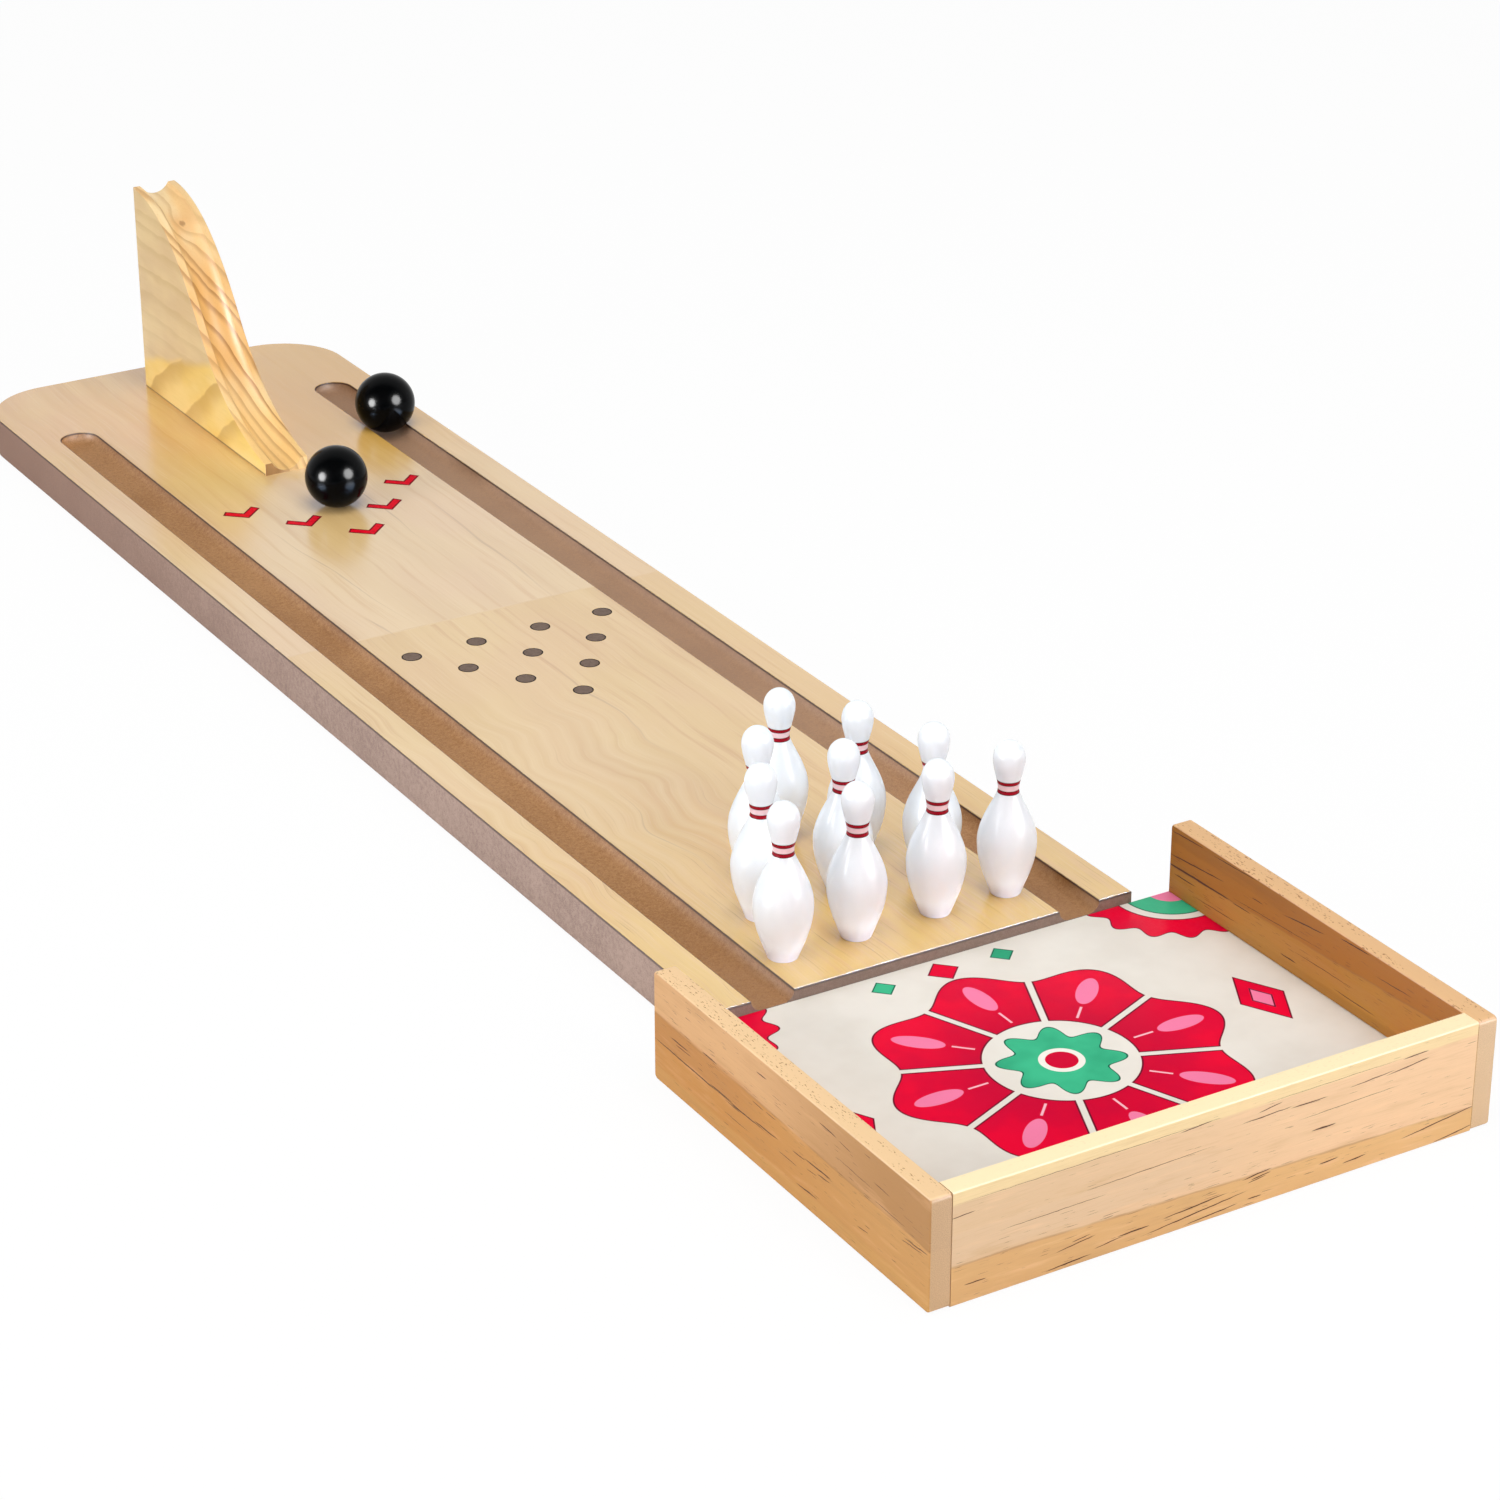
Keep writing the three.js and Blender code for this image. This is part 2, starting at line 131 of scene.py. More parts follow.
# %% One material and the nodes that make it
class Finish:
    def __init__(self, name, shelf="materials"):
        self.owner = getattr(bpy.data, shelf).new(name)
        self.owner.use_nodes = True
        self.nodes, self.wires = self.owner.node_tree.nodes, self.owner.node_tree.links
        self.nodes.clear()

    def node(self, kind, settings=None, inputs=None, output=0):
        made = self.nodes.new(kind)
        for key, value in (settings or {}).items():
            setattr(made, key, value)
        for key, value in (inputs or {}).items():
            if isinstance(value, Field):
                self.wires.new(value.socket, made.inputs[key])
            elif made.inputs[key].type == "RGBA":
                colour = rgb(value) if isinstance(value, str) else value
                made.inputs[key].default_value = (*colour, 1)
            else:
                made.inputs[key].default_value = value
        return Field(self, made.outputs[output]) if len(made.outputs) else None

    def maths(self, operation, *values):
        return self.node("ShaderNodeMath", {"operation": operation}, dict(enumerate(values)))

    def vector(self, operation, *values, output=0):
        settings = {"operation": operation}
        return self.node("ShaderNodeVectorMath", settings, dict(enumerate(values)), output)

    def least(self, a, b):
        return self.maths("MINIMUM", a, b)

    def most(self, a, b):
        return self.maths("MAXIMUM", a, b)

    def length(self, u, v):
        return self.maths("SQRT", u * u + v * v)

    def mix(self, share, a, b):
        return self.node("ShaderNodeMix", {"data_type": "RGBA"}, {0: share, 6: a, 7: b}, 2)

    def place(self, output="Object"):
        return self.node("ShaderNodeTexCoord", output=output)

    def parts(self, place):
        made = self.node("ShaderNodeSeparateXYZ", inputs={0: place})
        return [Field(self, out) for out in made.socket.node.outputs]

    def millimetres(self):
        return self.parts(self.vector("MULTIPLY", self.place(), (1000, 1000, 1000)))

    def join(self, x, y, z):
        return self.node("ShaderNodeCombineXYZ", inputs={0: x, 1: y, 2: z})

    def noise(self, place, scale, detail, roughness):
        inputs = {"Vector": place, "Scale": scale, "Detail": detail, "Roughness": roughness}
        return self.node("ShaderNodeTexNoise", inputs=inputs)

    def grain(self, x, y, z, detail=2, roughness=0.5):
        return self.noise(self.join(x, y, z), 1, detail, roughness)

    def nearest(self, place, spots):
        closest = 9.0  # farther off than any streak reaches
        for along, up, length, thick, slope in spots:
            inputs = {"Vector": place, "Location": (along, up, 0.0),
                      "Rotation": (0.0, 0.0, atan(slope)), "Scale": (length / 2, thick / 2, 1.0)}
            own = self.node("ShaderNodeMapping", {"vector_type": "TEXTURE"}, inputs)
            closest = self.least(closest, self.vector("LENGTH", own, output=1))
        return closest

    def surface(self, constants, colour, rough, relief, depth):
        bump = {"Height": relief, "Distance": depth * MM, "Strength": 1.0}
        normal = self.node("ShaderNodeBump", inputs=bump)
        varying = {"Base Color": colour, "Roughness": rough, "Normal": normal}
        shader = self.node("ShaderNodeBsdfPrincipled", inputs={**constants, **varying})
        self.node("ShaderNodeOutputMaterial", inputs={"Surface": shader})
        return self.owner


def rgb(code):
    parts = [int(code[i:i + 2], 16) / 255 for i in (0, 2, 4)]
    return tuple(c / 12.92 if c <= 0.04045 else ((c + 0.055) / 1.055) ** 2.4 for c in parts)


def shade(code, factor):
    return tuple(min(1, c * factor) for c in rgb(code))


print("e5caa5 in linear light is", [round(c, 3) for c in rgb("e5caa5")])

# %% [markdown]
# ## Shaping
# Every piece is a skin of rings: a board's outline drawn in at its eased edges, a turned
# profile spun round, or a round bar swept along a curve. One helper joins rings into a closed
# skin, and one makes the mesh, welds its doubled points and turns its faces outwards. Edges
# sharper than a set angle stay crisp. Gutters, grooves and dowel holes are then cut as a router
# would cut them, by taking one solid away from another.

# %% Rings into a closed mesh
def loft(rings):
    count = len(rings[0])
    points = [point for ring in rings for point in ring]
    faces = []
    for a in range(0, count * (len(rings) - 1), count):
        for i in range(count):
            j = (i + 1) % count
            faces.append((a + i, a + j, a + count + j, a + count + i))
    faces.append(tuple(reversed(range(count))))
    faces.append(tuple(range(len(points) - count, len(points))))
    return points, faces


CREASE_DEGREES, WELD = 32, 0.0005 * MM


def tidy_mesh(mesh):
    shape = bmesh.new()
    shape.from_mesh(mesh)
    bmesh.ops.remove_doubles(shape, verts=shape.verts, dist=WELD)
    bmesh.ops.recalc_face_normals(shape, faces=shape.faces)
    shape.to_mesh(mesh)
    shape.free()
    mesh.polygons.foreach_set("use_smooth", [True] * len(mesh.polygons))
    mesh.set_sharp_from_angle(angle=radians(CREASE_DEGREES))
    mesh.update()


def placed(name, data, place):
    made = bpy.data.objects.new(name, data)
    bpy.context.scene.collection.objects.link(made)
    made.location = place
    return made


def make(name, skin, place=(0, 0, 0)):
    points, faces = skin
    mesh = bpy.data.meshes.new(name)
    mesh.from_pydata([[c * MM for c in point] for point in points], [], faces)
    tidy_mesh(mesh)
    return placed(name, mesh, place)


print("lofting and mesh helpers ready")

# %% Cutting one piece with another
def cut(target, tool):
    tool.location = target.location
    bpy.context.view_layer.update()
    step = target.modifiers.new("cut", "BOOLEAN")
    step.operation, step.solver, step.object = "DIFFERENCE", "EXACT", tool
    view = bpy.context.evaluated_depsgraph_get()
    result = bpy.data.meshes.new_from_object(target.evaluated_get(view))
    target.modifiers.clear()
    old, target.data = target.data, result
    result.name = target.name
    bpy.data.meshes.remove(old)
    bpy.data.objects.remove(tool)
    tidy_mesh(result)


def dress(made, body, material, slot, *nodes):
    for one in material if isinstance(material, list) else [material]:
        made.data.materials.append(one)
    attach(made, body)
    if nodes:
        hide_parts(*nodes)
    print(made.name, "rides", body, "with", len(made.data.polygons), "faces")
    return made


print("cutting and dressing helpers ready")

# %% [markdown]
# A sawn edge is never sharp: it is eased with sandpaper. The next helpers draw an outline in by
# a distance, and stack such outlines on a quarter round at each face of a board.

# %% Boards with eased edges
def drawn_in(outline, inset):
    drawn = []
    for i, (x, y) in enumerate(outline):
        before, after = outline[i - 1], outline[(i + 1) % len(outline)]
        a, b = (x - before[0], y - before[1]), (after[0] - x, after[1] - y)
        na, nb = (-a[1] / hypot(*a), a[0] / hypot(*a)), (-b[1] / hypot(*b), b[0] / hypot(*b))
        reach = inset / (1 + na[0] * nb[0] + na[1] * nb[1])
        drawn.append((x + (na[0] + nb[0]) * reach, y + (na[1] + nb[1]) * reach))
    return drawn


def quarter_round(radius, steps):
    angles = [pi / 2 * i / steps for i in range(steps + 1)]
    return [(radius * (1 - sin(a)), radius * (1 - cos(a))) for a in angles]


def board(outline, thickness, easing, steps=4):
    near = quarter_round(easing, steps)
    far = [(inset, thickness - depth) for inset, depth in reversed(near)]
    return [[(u, v, depth) for u, v in drawn_in(outline, inset)] for inset, depth in near + far]


def arc(x, y, radius, start, end, steps):
    turn = [radians(start + (end - start) * i / steps) for i in range(steps + 1)]
    return [(x + radius * cos(a), y + radius * sin(a)) for a in turn]


def rounded_rectangle(x0, y0, x1, y1, radius, steps=8):
    corners = [(x1 - radius, y0 + radius, -90), (x1 - radius, y1 - radius, 0),
               (x0 + radius, y1 - radius, 90), (x0 + radius, y0 + radius, 180)]
    return [p for x, y, start in corners for p in arc(x, y, radius, start, start + 90, steps)]


def block(x0, y0, z0, x1, y1, z1):
    flat = [(x0, y0), (x1, y0), (x1, y1), (x0, y1)]
    return loft([[(x, y, z) for x, y in flat] for z in (z0, z1)])


def full_turn(sides):
    return [2 * pi * i / sides for i in range(sides)]


def bar(radius, x0, x1, y, z):
    circle = [(y + radius * cos(a), z + radius * sin(a)) for a in full_turn(28)]
    return loft([[(x, u, v) for u, v in circle] for x in (x0, x1)])


print("a 57 x 11 board has", len(board(rounded_rectangle(0, 0, 57, 11, 1), 100, 0.8)), "rings")

# %% [markdown]
# ## The fibreboard of the lane
# The lane is cut from medium-density fibreboard: brown fibres pressed with glue. Its sawn edges
# and the routed gutters show that as a fine, soft speckle, greyer at the saw cut and more
# orange where the router ran hot. The speckle is noise at several sizes, and the same noise
# roughens the surface. The board is browner towards some ends, and darker in a thin band just
# under the print's edge.

# %% Fibreboard finish
def fibreboard(name, dark, light, fleck, roughness, depth, rim,
               right_side=None, far_end=None, near_end=None):
    pot = Finish(name)
    place = pot.place()
    coarse = pot.noise(place, 420, 3, 0.6)
    fine = pot.noise(place, 1500, 2, 0.6)
    grit = pot.noise(place, 2600, 1, 0.5)
    cloudy = pot.noise(place, 22, 2, 0.5)
    tone = (coarse * 0.4 + fine * 0.35 + cloudy * 0.25).rise(0.36, 0.64)
    colour = pot.mix(tone, dark, light)
    colour = colour.tint(grit.rise(0.6, 0.72) * 0.45, fleck)
    colour = colour.tint(fine.rise(0.36, 0.28) * 0.3, shade(dark, 0.4))
    across, along, height = pot.millimetres()
    if right_side:
        colour = colour.tint(across.rise(-10, 10) * along.rise(60, 300) * 0.5, right_side)
    if far_end:
        colour = colour.tint(along.rise(350, 900) * 0.75, far_end)
    if near_end:
        tint, reach, share = near_end
        colour = colour.tint(along.rise(reach, 0) * share, tint)
    # Darker in a thin band near the top, just under the print, in the rim colour.
    dark_top_band = height.rise(23.4, 24.3) * coarse.rise(0.2, 0.45, 0.7, 1.0)
    colour = colour.tint(dark_top_band * 0.85, rim)
    rough = coarse.spread(roughness - 0.08, roughness + 0.08)
    relief = fine + coarse * 0.6
    return pot.surface({"Specular IOR Level": 0.2}, colour, rough, relief, depth)


edge_board = fibreboard(
    "fibreboard_edge", dark="866a5d", light="a88c7d", fleck="c2a899", roughness=0.72,
    depth=0.06, rim="4a352b", far_end="825a43", near_end=("5c412e", 4, 0.6))
gutter_board = fibreboard(
    "fibreboard_gutter", dark="8f6136", light="b08356", fleck="c69c6d", roughness=0.6,
    depth=0.06, rim="3f2815", right_side="a18674", near_end=("734c2a", 150, 0.4))
under_board = fibreboard(
    "fibreboard_underside", dark="7a5b44", light="9a7a5f", fleck="b59a80", roughness=0.66,
    depth=0.04, rim="4a352b")
print("fibreboard finishes:", edge_board.name, gutter_board.name, under_board.name)

# %% [markdown]
# The board is sawn to length with two round corners at the far end. A coved cutter runs the
# gutters in from the tray end, so each has a round stop. The cutter's way is one solid: the
# gutter's outline on the lane's top, drawn in along a quarter round down to the gutter's floor.

# %% Lane sizes, from the CAD node's box
low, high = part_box("lane_board")
LANE_WIDTH = (high.x - low.x) / MM
LANE_LENGTH = (high.y - low.y) / MM
LANE_TOP = high.z / MM
LANE_PLACE = (0, low.y, 0)
LANE_CORNER = 45
PRINT_THICKNESS, PRINT_MARGIN, PRINT_EASING = 0.25, 0.45, 0.08
GUTTER_CENTRE, GUTTER_WIDTH, GUTTER_DEPTH, GUTTER_MARGIN = 88.5, 24, 6, 0.42
BEYOND_GUTTER = 89
GUTTER_STOP = LANE_LENGTH - BEYOND_GUTTER - GUTTER_WIDTH / 2
OVERRUN, OVERLIFT = 12, 3
print("lane", round(LANE_WIDTH), "x", round(LANE_LENGTH), "mm, gutters to", round(GUTTER_STOP))

# %% The lane's outline and the gutter cutter
def lane_outline():
    half = LANE_WIDTH / 2
    far = LANE_LENGTH - LANE_CORNER
    outline = [(-half, 0), (half, 0)]
    outline += arc(half - LANE_CORNER, far, LANE_CORNER, 0, 90, 28)
    outline += arc(LANE_CORNER - half, far, LANE_CORNER, 90, 180, 28)
    return outline


def gutter_way(centre, widening=0.0):
    half = GUTTER_WIDTH / 2
    way = [(centre - half, -OVERRUN), (centre + half, -OVERRUN)]
    way += arc(centre, GUTTER_STOP, half, 0, 180, 40)
    floor = LANE_TOP - GUTTER_DEPTH
    layers = [(inset, floor + rise) for inset, rise in quarter_round(GUTTER_DEPTH, 8)]
    layers.append((0, LANE_TOP + OVERLIFT))
    return loft([[(x, y, z) for x, y in drawn_in(way, inset - widening)] for inset, z in layers])


print("one gutter's cutter has", len(gutter_way(0)[0]), "points")

# %% Cut the lane's fibreboard
CLOSE = 0.1
core_height = LANE_TOP - PRINT_THICKNESS
core = make("lane_core", loft(board(lane_outline(), core_height, easing=0.35)), LANE_PLACE)
for side in (-1, 1):
    cut(core, make("gutter_tool", gutter_way(side * GUTTER_CENTRE)))
dress(core, "lane", [edge_board, gutter_board, under_board], "lane_board", "lane_board")
for face in core.data.polygons:
    x, y, z = face.center / MM
    in_gutter = (abs(abs(x) - GUTTER_CENTRE) < GUTTER_WIDTH / 2 + CLOSE
                 and z > LANE_TOP - GUTTER_DEPTH - CLOSE)
    routed = in_gutter and y > CLOSE / 10 and (face.normal.z < 0.99 or z < core_height - CLOSE)
    face.material_index = 1 if routed else 2 if face.normal.z < -0.99 else 0
print("gutter faces:", sum(f.material_index == 1 for f in core.data.polygons))

# %% [markdown]
# ## The printed maple
# The lane's top is a picture of maple on a thin film, under thick gloss. It is pale, with long
# fine streaks. Two pictures meet halfway along: the half by the pins is yellower and has a wavy
# figure, the far half is pinker. A honey patch at the right behind the ramp is painted
# reflection: the lane's full honey colour, as where the gloss lays no veil. A streak is noise
# that is stretched along the lane. The gloss matters as much as the print: seen at a low angle
# it lays a cool veil over the wood, and where the ramp or a ball is mirrored the veil is gone
# and the full honey colour shows. The cool cast is the gloss's specular tint.

# %% Maple print finish
PRINT_JOINT = 471
# Each line: place along, place across, length, thickness, slope
long_lines = [(567, -44, 215, 1.5, -0.068), (484, -56.5, 44, 2.2, -0.1),
              (560, 52, 240, 2.4, 0.03), (180, -48, 130, 1.6, 0.02),
              (330, 3, 190, 2.0, -0.01), (640, 24, 170, 1.6, 0.03)]


def maple_print():
    pot = Finish("maple_print")
    x, y = pot.millimetres()[:2]
    pins_half = y.rise(PRINT_JOINT + 3, PRINT_JOINT)
    pins_end = y.rise(250, 30)
    figured = y.rise(90, 180) * y.rise(400, 300) * x.rise(20, -20)
    bend = pot.grain(x / 70, y / 42, 4.0, 0.6, 0.4) - 0.5
    across = x + bend * (figured * 24 + 5)
    hair = pot.grain(across, y / 60, pins_half * 7, 3, 0.6)
    streak = pot.grain(across / 4.6, y / 150, pins_half * 9, 3, 0.6)
    broad = pot.grain(across / 20, y / 300, pins_half * 5)
    patch = pot.grain(x / 60, y / 110, 11.0)
    mid_lane = y.rise(800, 600) * y.rise(120, 300)
    darker = streak.rise(0.5, 0.74) * (0.3 + pins_half * 0.15 - figured * 0.25)
    wave = abs(pot.maths("FRACT", across / 11 + broad) - 0.5) * 2
    # The honey patch behind the ramp is painted reflection: the lane's colour where its gloss
    # lays no veil. A faint honey strip also runs along the right edge.
    honey_painted_reflection = pot.most(y.rise(680, 800) * x.rise(-10, 30) * 0.65, x.rise(96, 104) * 0.15)
    line = pot.nearest(pot.join(y, across + (hair - 0.5) * 2, 0.0), long_lines)

    colour = pot.mix(pins_half, "e0b25d", "e0b154").layers(
        (broad.rise(0.32, 0.68) * 0.6, "f2ca81"),
        (patch.rise(0.38, 0.66) * 0.45, "e4ae71"),
        (broad.rise(0.5, 0.32) * 0.14, "d29c50"),
        (mid_lane * 0.4, pot.mix(pins_half, "f6dcae", "efcf8e")),
        (darker, "cc9440"),
        (wave * figured * 0.3, "f8d999"),
        (pins_end * streak.rise(0.35, 0.55) * 0.6, "e8bd5d"),
        (hair.rise(0.58, 0.74) * (0.12 + pins_end * 0.58), "9e6c28"),
        (hair.rise(0.46, 0.28) * 0.25, "f7d9a0"),
        (honey_painted_reflection, "edb747"),
        (y.rise(180, 30) * 0.16, "eecc64"),
        (line.rise(1.0, 0.2) * 0.28, "9a7340"))
    rough = streak.spread(0.2, 0.26)
    gloss = {"IOR": 1.9, "Specular IOR Level": 1.0, "Specular Tint": (0.25, 0.5, 0.9)}
    return pot.surface(gloss, colour, rough, hair, 0.008)


maple = maple_print()
print("maple print nodes:", len(maple.node_tree.nodes))

# %% The printed film, with room round the gutters
def film_rings():
    outline = drawn_in(lane_outline(), PRINT_MARGIN)
    levels = [(0, core_height), (0, LANE_TOP - PRINT_EASING), (PRINT_EASING, LANE_TOP)]
    return [[(x, y, z) for x, y in drawn_in(outline, inset)] for inset, z in levels]


film = make("lane_print", loft(film_rings()), LANE_PLACE)
for side in (-1, 1):
    cut(film, make("film_tool", gutter_way(side * GUTTER_CENTRE, GUTTER_MARGIN)))
dress(film, "lane", maple, "lane_board")

# %% [markdown]
# The lane carries printed marks: five aiming arrows, and ten dots that stand for the pin
# places. A print this crisp would blur in a texture as long as the lane, so the marks are cut
# as thin films of ink, each with a darker rim, that lie a few hundredths of a millimetre proud
# of the maple.

# %% Ink finish
def ink(name, light, dark, index):
    pot = Finish(name)
    cloud = pot.noise(pot.place(), 360, 3, 0.6)
    colour = pot.mix(cloud.rise(0.35, 0.68), light, dark)
    return pot.surface({"IOR": index}, colour, cloud.spread(0.26, 0.36), cloud, 0.01)


arrow_red = ink("arrow_red", "e80a26", "cc0a22", 1.06)
arrow_rim = ink("arrow_rim", "86101f", "640a16", 1.06)
dot_grey = ink("dot_grey", "766459", "68574d", 1.1)
dot_rim = ink("dot_rim", "33281f", "271e18", 1.1)
print("inks:", arrow_red.name, arrow_rim.name, dot_grey.name, dot_rim.name)

# %% Films of ink: a filled shape inside a rim of even width
INK_LEVELS = (-0.05, 0.03, 0.04)


def ink_film(name, outlines, rim, finishes):
    points, faces = [], []
    for outline in outlines:
        levels = zip((outline, outline, drawn_in(outline, rim)), INK_LEVELS)
        skin = loft([[(x, y, LANE_TOP + z) for x, y in ring] for ring, z in levels])
        faces += [tuple(len(points) + i for i in face) for face in skin[1]]
        points += skin[0]
    made = dress(make(name, (points, faces), LANE_PLACE), "lane", finishes, "lane_board")
    for face in made.data.polygons:
        filling = len(face.vertices) > 4 and face.normal.z > 0
        face.material_index = 0 if filling else 1


# Marks are given across the lane and along it from the tray end
DOT_RADIUS, DOT_RIM, ARROW_RIM = 5.8, 0.8, 1.1
dot_places = [(-59.4, 437.5), (-18.7, 437.5), (22, 437.5), (62.2, 437.5), (-39.1, 408),
              (1.5, 408), (41.8, 408), (-18.5, 379), (21.8, 379), (1.5, 349.5)]
arrow_tips = [(-51.7, 670.5), (-25.1, 639), (1.8, 608.1), (28.3, 638), (54.9, 668)]
dots = [arc(x, y, DOT_RADIUS, 0, 360, 48)[:-1] for x, y in dot_places]
arrow = [(0, -0.4), (12.2, 10.9), (8.5, 15.9), (0, 8), (-8.5, 15.9), (-12.2, 10.9)]
arrows = [[(x + u, y + v) for u, v in arrow] for x, y in arrow_tips]
ink_film("lane_dots", dots, DOT_RIM, [dot_grey, dot_rim])
ink_film("lane_arrows", arrows, ARROW_RIM, [arrow_red, arrow_rim])

# %% [markdown]
# ## Pine
# The tray is of flat-sawn radiata pine. Each face shows two bands, paler and pinker above and
# more orange below, that meet along a wandering line, with broad belts of other tones. Beside
# that line lie short dark resin streaks. The large streaks are placed one by one, in
# millimetres along and up the board. The fine fibre and the small flecks are noise. All of it
# is solid: it is worked out from the place in the wood, so what runs along a face shows as dots
# on the end grain.

# %% Pine finish for a board whose grain runs along x or y
def pine_board(name, grain, face, ends, upper, lower, meet, slope, belts, streaks,
               crown, seed=0.0):
    pot = Finish(name)
    parts = dict(zip("xyz", pot.millimetres()))
    g, t, h = parts[grain], parts["y" if grain == "x" else "x"], parts["z"]
    far = g.rise(*ends)
    slow = pot.grain(g / 62, t / 12, h / 30 + seed) - 0.5
    quick = pot.grain(g / 9, t / 3, h / 3.5 + seed, 2, 0.6) - 0.5
    layer = h - meet - g * slope + slow * 3.2 + quick * 0.9
    above = layer.rise(-0.7, 0.7)
    colour = pot.mix(above, pot.mix(far, *lower), pot.mix(far, *upper))
    for low, high, start, stop, tone, share in belts:
        level = h + slow * 2 + quick
        inside = level.rise(low - 1, low + 1) * level.rise(high + 1, high - 1)
        reach = g.rise(start - 25, start + 25) * g.rise(stop + 25, stop - 25)
        colour = colour.tint(inside * reach * share, tone)

    cloud = pot.grain(g / 46, t / 6, layer / 5, 3, 0.6)
    fibre = pot.grain(g / 20, t / 0.5, h / 0.5, 3, 0.6)
    seam = abs(layer).rise(0.9, 0.15) * cloud.rise(0.3, 0.6)

    ragged = pot.grain(g / 4.5, t / 0.6, h / 0.5) - 0.5
    spot = pot.join(g, h + quick * 0.9, (t - face) / 2.5)
    drawn_out = [(along, up, length * 1.35, thick * 0.55, slope)
                 for along, up, length, thick, slope in streaks]
    mark = (pot.nearest(spot, drawn_out) + ragged * 0.3).rise(0.92, 0.66)
    fleck = pot.grain(g / 11, t / 0.8, h / 0.42 + seed, 1, 0.4)
    small = (fleck + abs(layer).rise(14, 2) * 0.04).rise(0.715, 0.76)
    mark = pot.most(mark, small * 0.75)

    top = h.rise(crown["height"] - 1.1, crown["height"] - 0.35)
    tick = pot.grain(g / 2.2, t / 0.7, seed, 1, 0.4)
    bunch = pot.grain(g / 22, t / 4, seed + 3, 1) + far * 0.12
    flecks = tick.rise(0.6, 0.7) * bunch.rise(0.5, 0.62) * top * crown["flecks"]

    facing = dict(zip("xyz", pot.parts(pot.place("Normal"))))
    end = abs(facing[grain]).rise(0.7, 0.95)
    pore = pot.grain(g / 40, t / 0.4, h / 0.4)
    end_tone = pot.mix(pore.rise(0.4, 0.65), crown["end"], shade(crown["end"], 0.8))

    colour = colour.layers(
        (cloud.rise(0.5, 0.75) * 0.3, shade(lower[0], 0.78)),
        (cloud.rise(0.48, 0.25) * 0.3, shade(upper[1], 1.16)),
        (fibre.rise(0.5, 0.72) * 0.2, shade(lower[0], 0.7)),
        (seam * 0.4, "8f5e2c"),
        (mark, "4a2402"),
        (top * 0.9, crown["tone"]),
        (flecks, "8c5a2a"),
        (end * 0.9, end_tone))
    rough = fibre.spread(0.46, 0.58)
    relief = fibre * 0.6 + pore * 0.4 - mark * 0.5
    return pot.surface({"IOR": 1.3, "Specular IOR Level": 0.3}, colour, rough, relief, 0.05)


print("pine can be mixed board by board")

# %% The side walls' streaks: place along, height, length, thickness, slope
left_streaks = [
    (11, 28.3, 18, 1.1, -0.06), (14, 26.6, 14, 1, -0.1), (38, 42.2, 12, 0.8, 0.05),
    (82, 49.3, 13, 1.3, 0.04), (68, 48, 9, 0.8, 0.1), (138, 48.8, 8, 1.6, -0.02),
    (184, 35.3, 12, 1.7, 0), (90, 25.3, 20, 1.9, -0.02), (106, 24, 10, 1.2, -0.05),
    (85, 23, 10, 1, -0.08), (95, 21, 8, 0.8, -0.1), (134, 22.6, 18, 1.7, -0.03),
    (152, 21.2, 24, 1.5, -0.03), (174, 22, 18, 1.4, 0), (163, 20.3, 12, 0.9, 0),
    (207, 21.3, 50, 1.5, 0.01), (211, 29, 15, 1.3, -0.02), (208, 27.4, 13, 1.1, -0.03),
    (99, 9.2, 16, 1.5, -0.06), (141, 31.7, 9, 1, 0.02), (130, 32, 8, 0.9, 0),
    (53, 14, 8, 0.9, -0.1), (115, 17.5, 14, 0.8, 0), (32, 33.5, 22, 0.7, 0.02),
    (160, 14, 20, 0.6, 0), (60, 39, 26, 0.6, 0.03), (178, 21.4, 84, 0.9, 0)]
right_streaks = [
    (89, 54.6, 20, 1.6, -0.05), (127.5, 49, 28, 1.6, -0.12), (213, 42, 40, 1.6, -0.08),
    (212, 35.5, 50, 2.6, -0.03), (176, 36, 13, 1.4, -0.03), (222, 31, 16, 1.5, -0.03),
    (138, 26, 11, 1.5, 0), (87, 25.8, 28, 1, 0), (182, 55, 32, 1.2, -0.05),
    (221, 54, 24, 1.3, -0.05), (164, 45.3, 8, 1.1, -0.03), (60, 47, 24, 0.9, -0.04),
    (150, 40, 60, 0.8, -0.05), (110, 32, 40, 0.8, -0.02), (195, 26, 30, 0.9, -0.03)]
print("streaks placed:", len(left_streaks), "left,", len(right_streaks), "right")

# %% The front wall's streaks
front_streaks = [
    (-137, 44.5, 11, 1.1, 0.03), (-15, 50.5, 16, 1.2, 0.06), (25, 48, 12, 1.2, 0.15),
    (24, 44.6, 24, 1.1, 0.03), (47, 44, 18, 1.4, 0), (56, 28.6, 12, 1.8, 0),
    (56, 28.6, 6, 2.4, 0), (82, 45.5, 22, 1.2, 0.06), (103, 46, 22, 1.3, 0.1),
    (107, 50.7, 13, 1.3, 0.03), (-130, 9, 10, 1.5, 0), (-78, 11, 19, 1.3, 0.12),
    (-75, 13, 9, 1, 0.1), (-82, 2.5, 22, 1.4, 0.05), (-47, 7.5, 15, 1.6, 0.02),
    (-14, 9.7, 31, 1.5, 0.07), (-13.5, 6, 50, 1.4, 0.09), (-5, 2.5, 26, 1.2, 0.07),
    (20, 15.5, 14, 1.5, 0.1), (22, 14, 10, 1.2, 0.1), (20, 13, 9, 1, 0.1), (19, 4, 7, 1.3, 0),
    (60, 9.8, 10, 1.5, 0.05), (75, 6.3, 12, 1.5, 0.07), (124, 11, 40, 1.5, 0.12),
    (132, 2, 22, 1.2, 0.12), (-60, 6, 14, 1, 0.1), (-40, 37, 60, 0.7, 0.02),
    (-90, 31, 50, 0.6, 0.01), (70, 37, 50, 0.6, 0.02), (-70, 50.8, 120, 0.5, 0.002),
    (60, 51, 70, 0.4, 0)]
print("streaks placed:", len(front_streaks), "front")

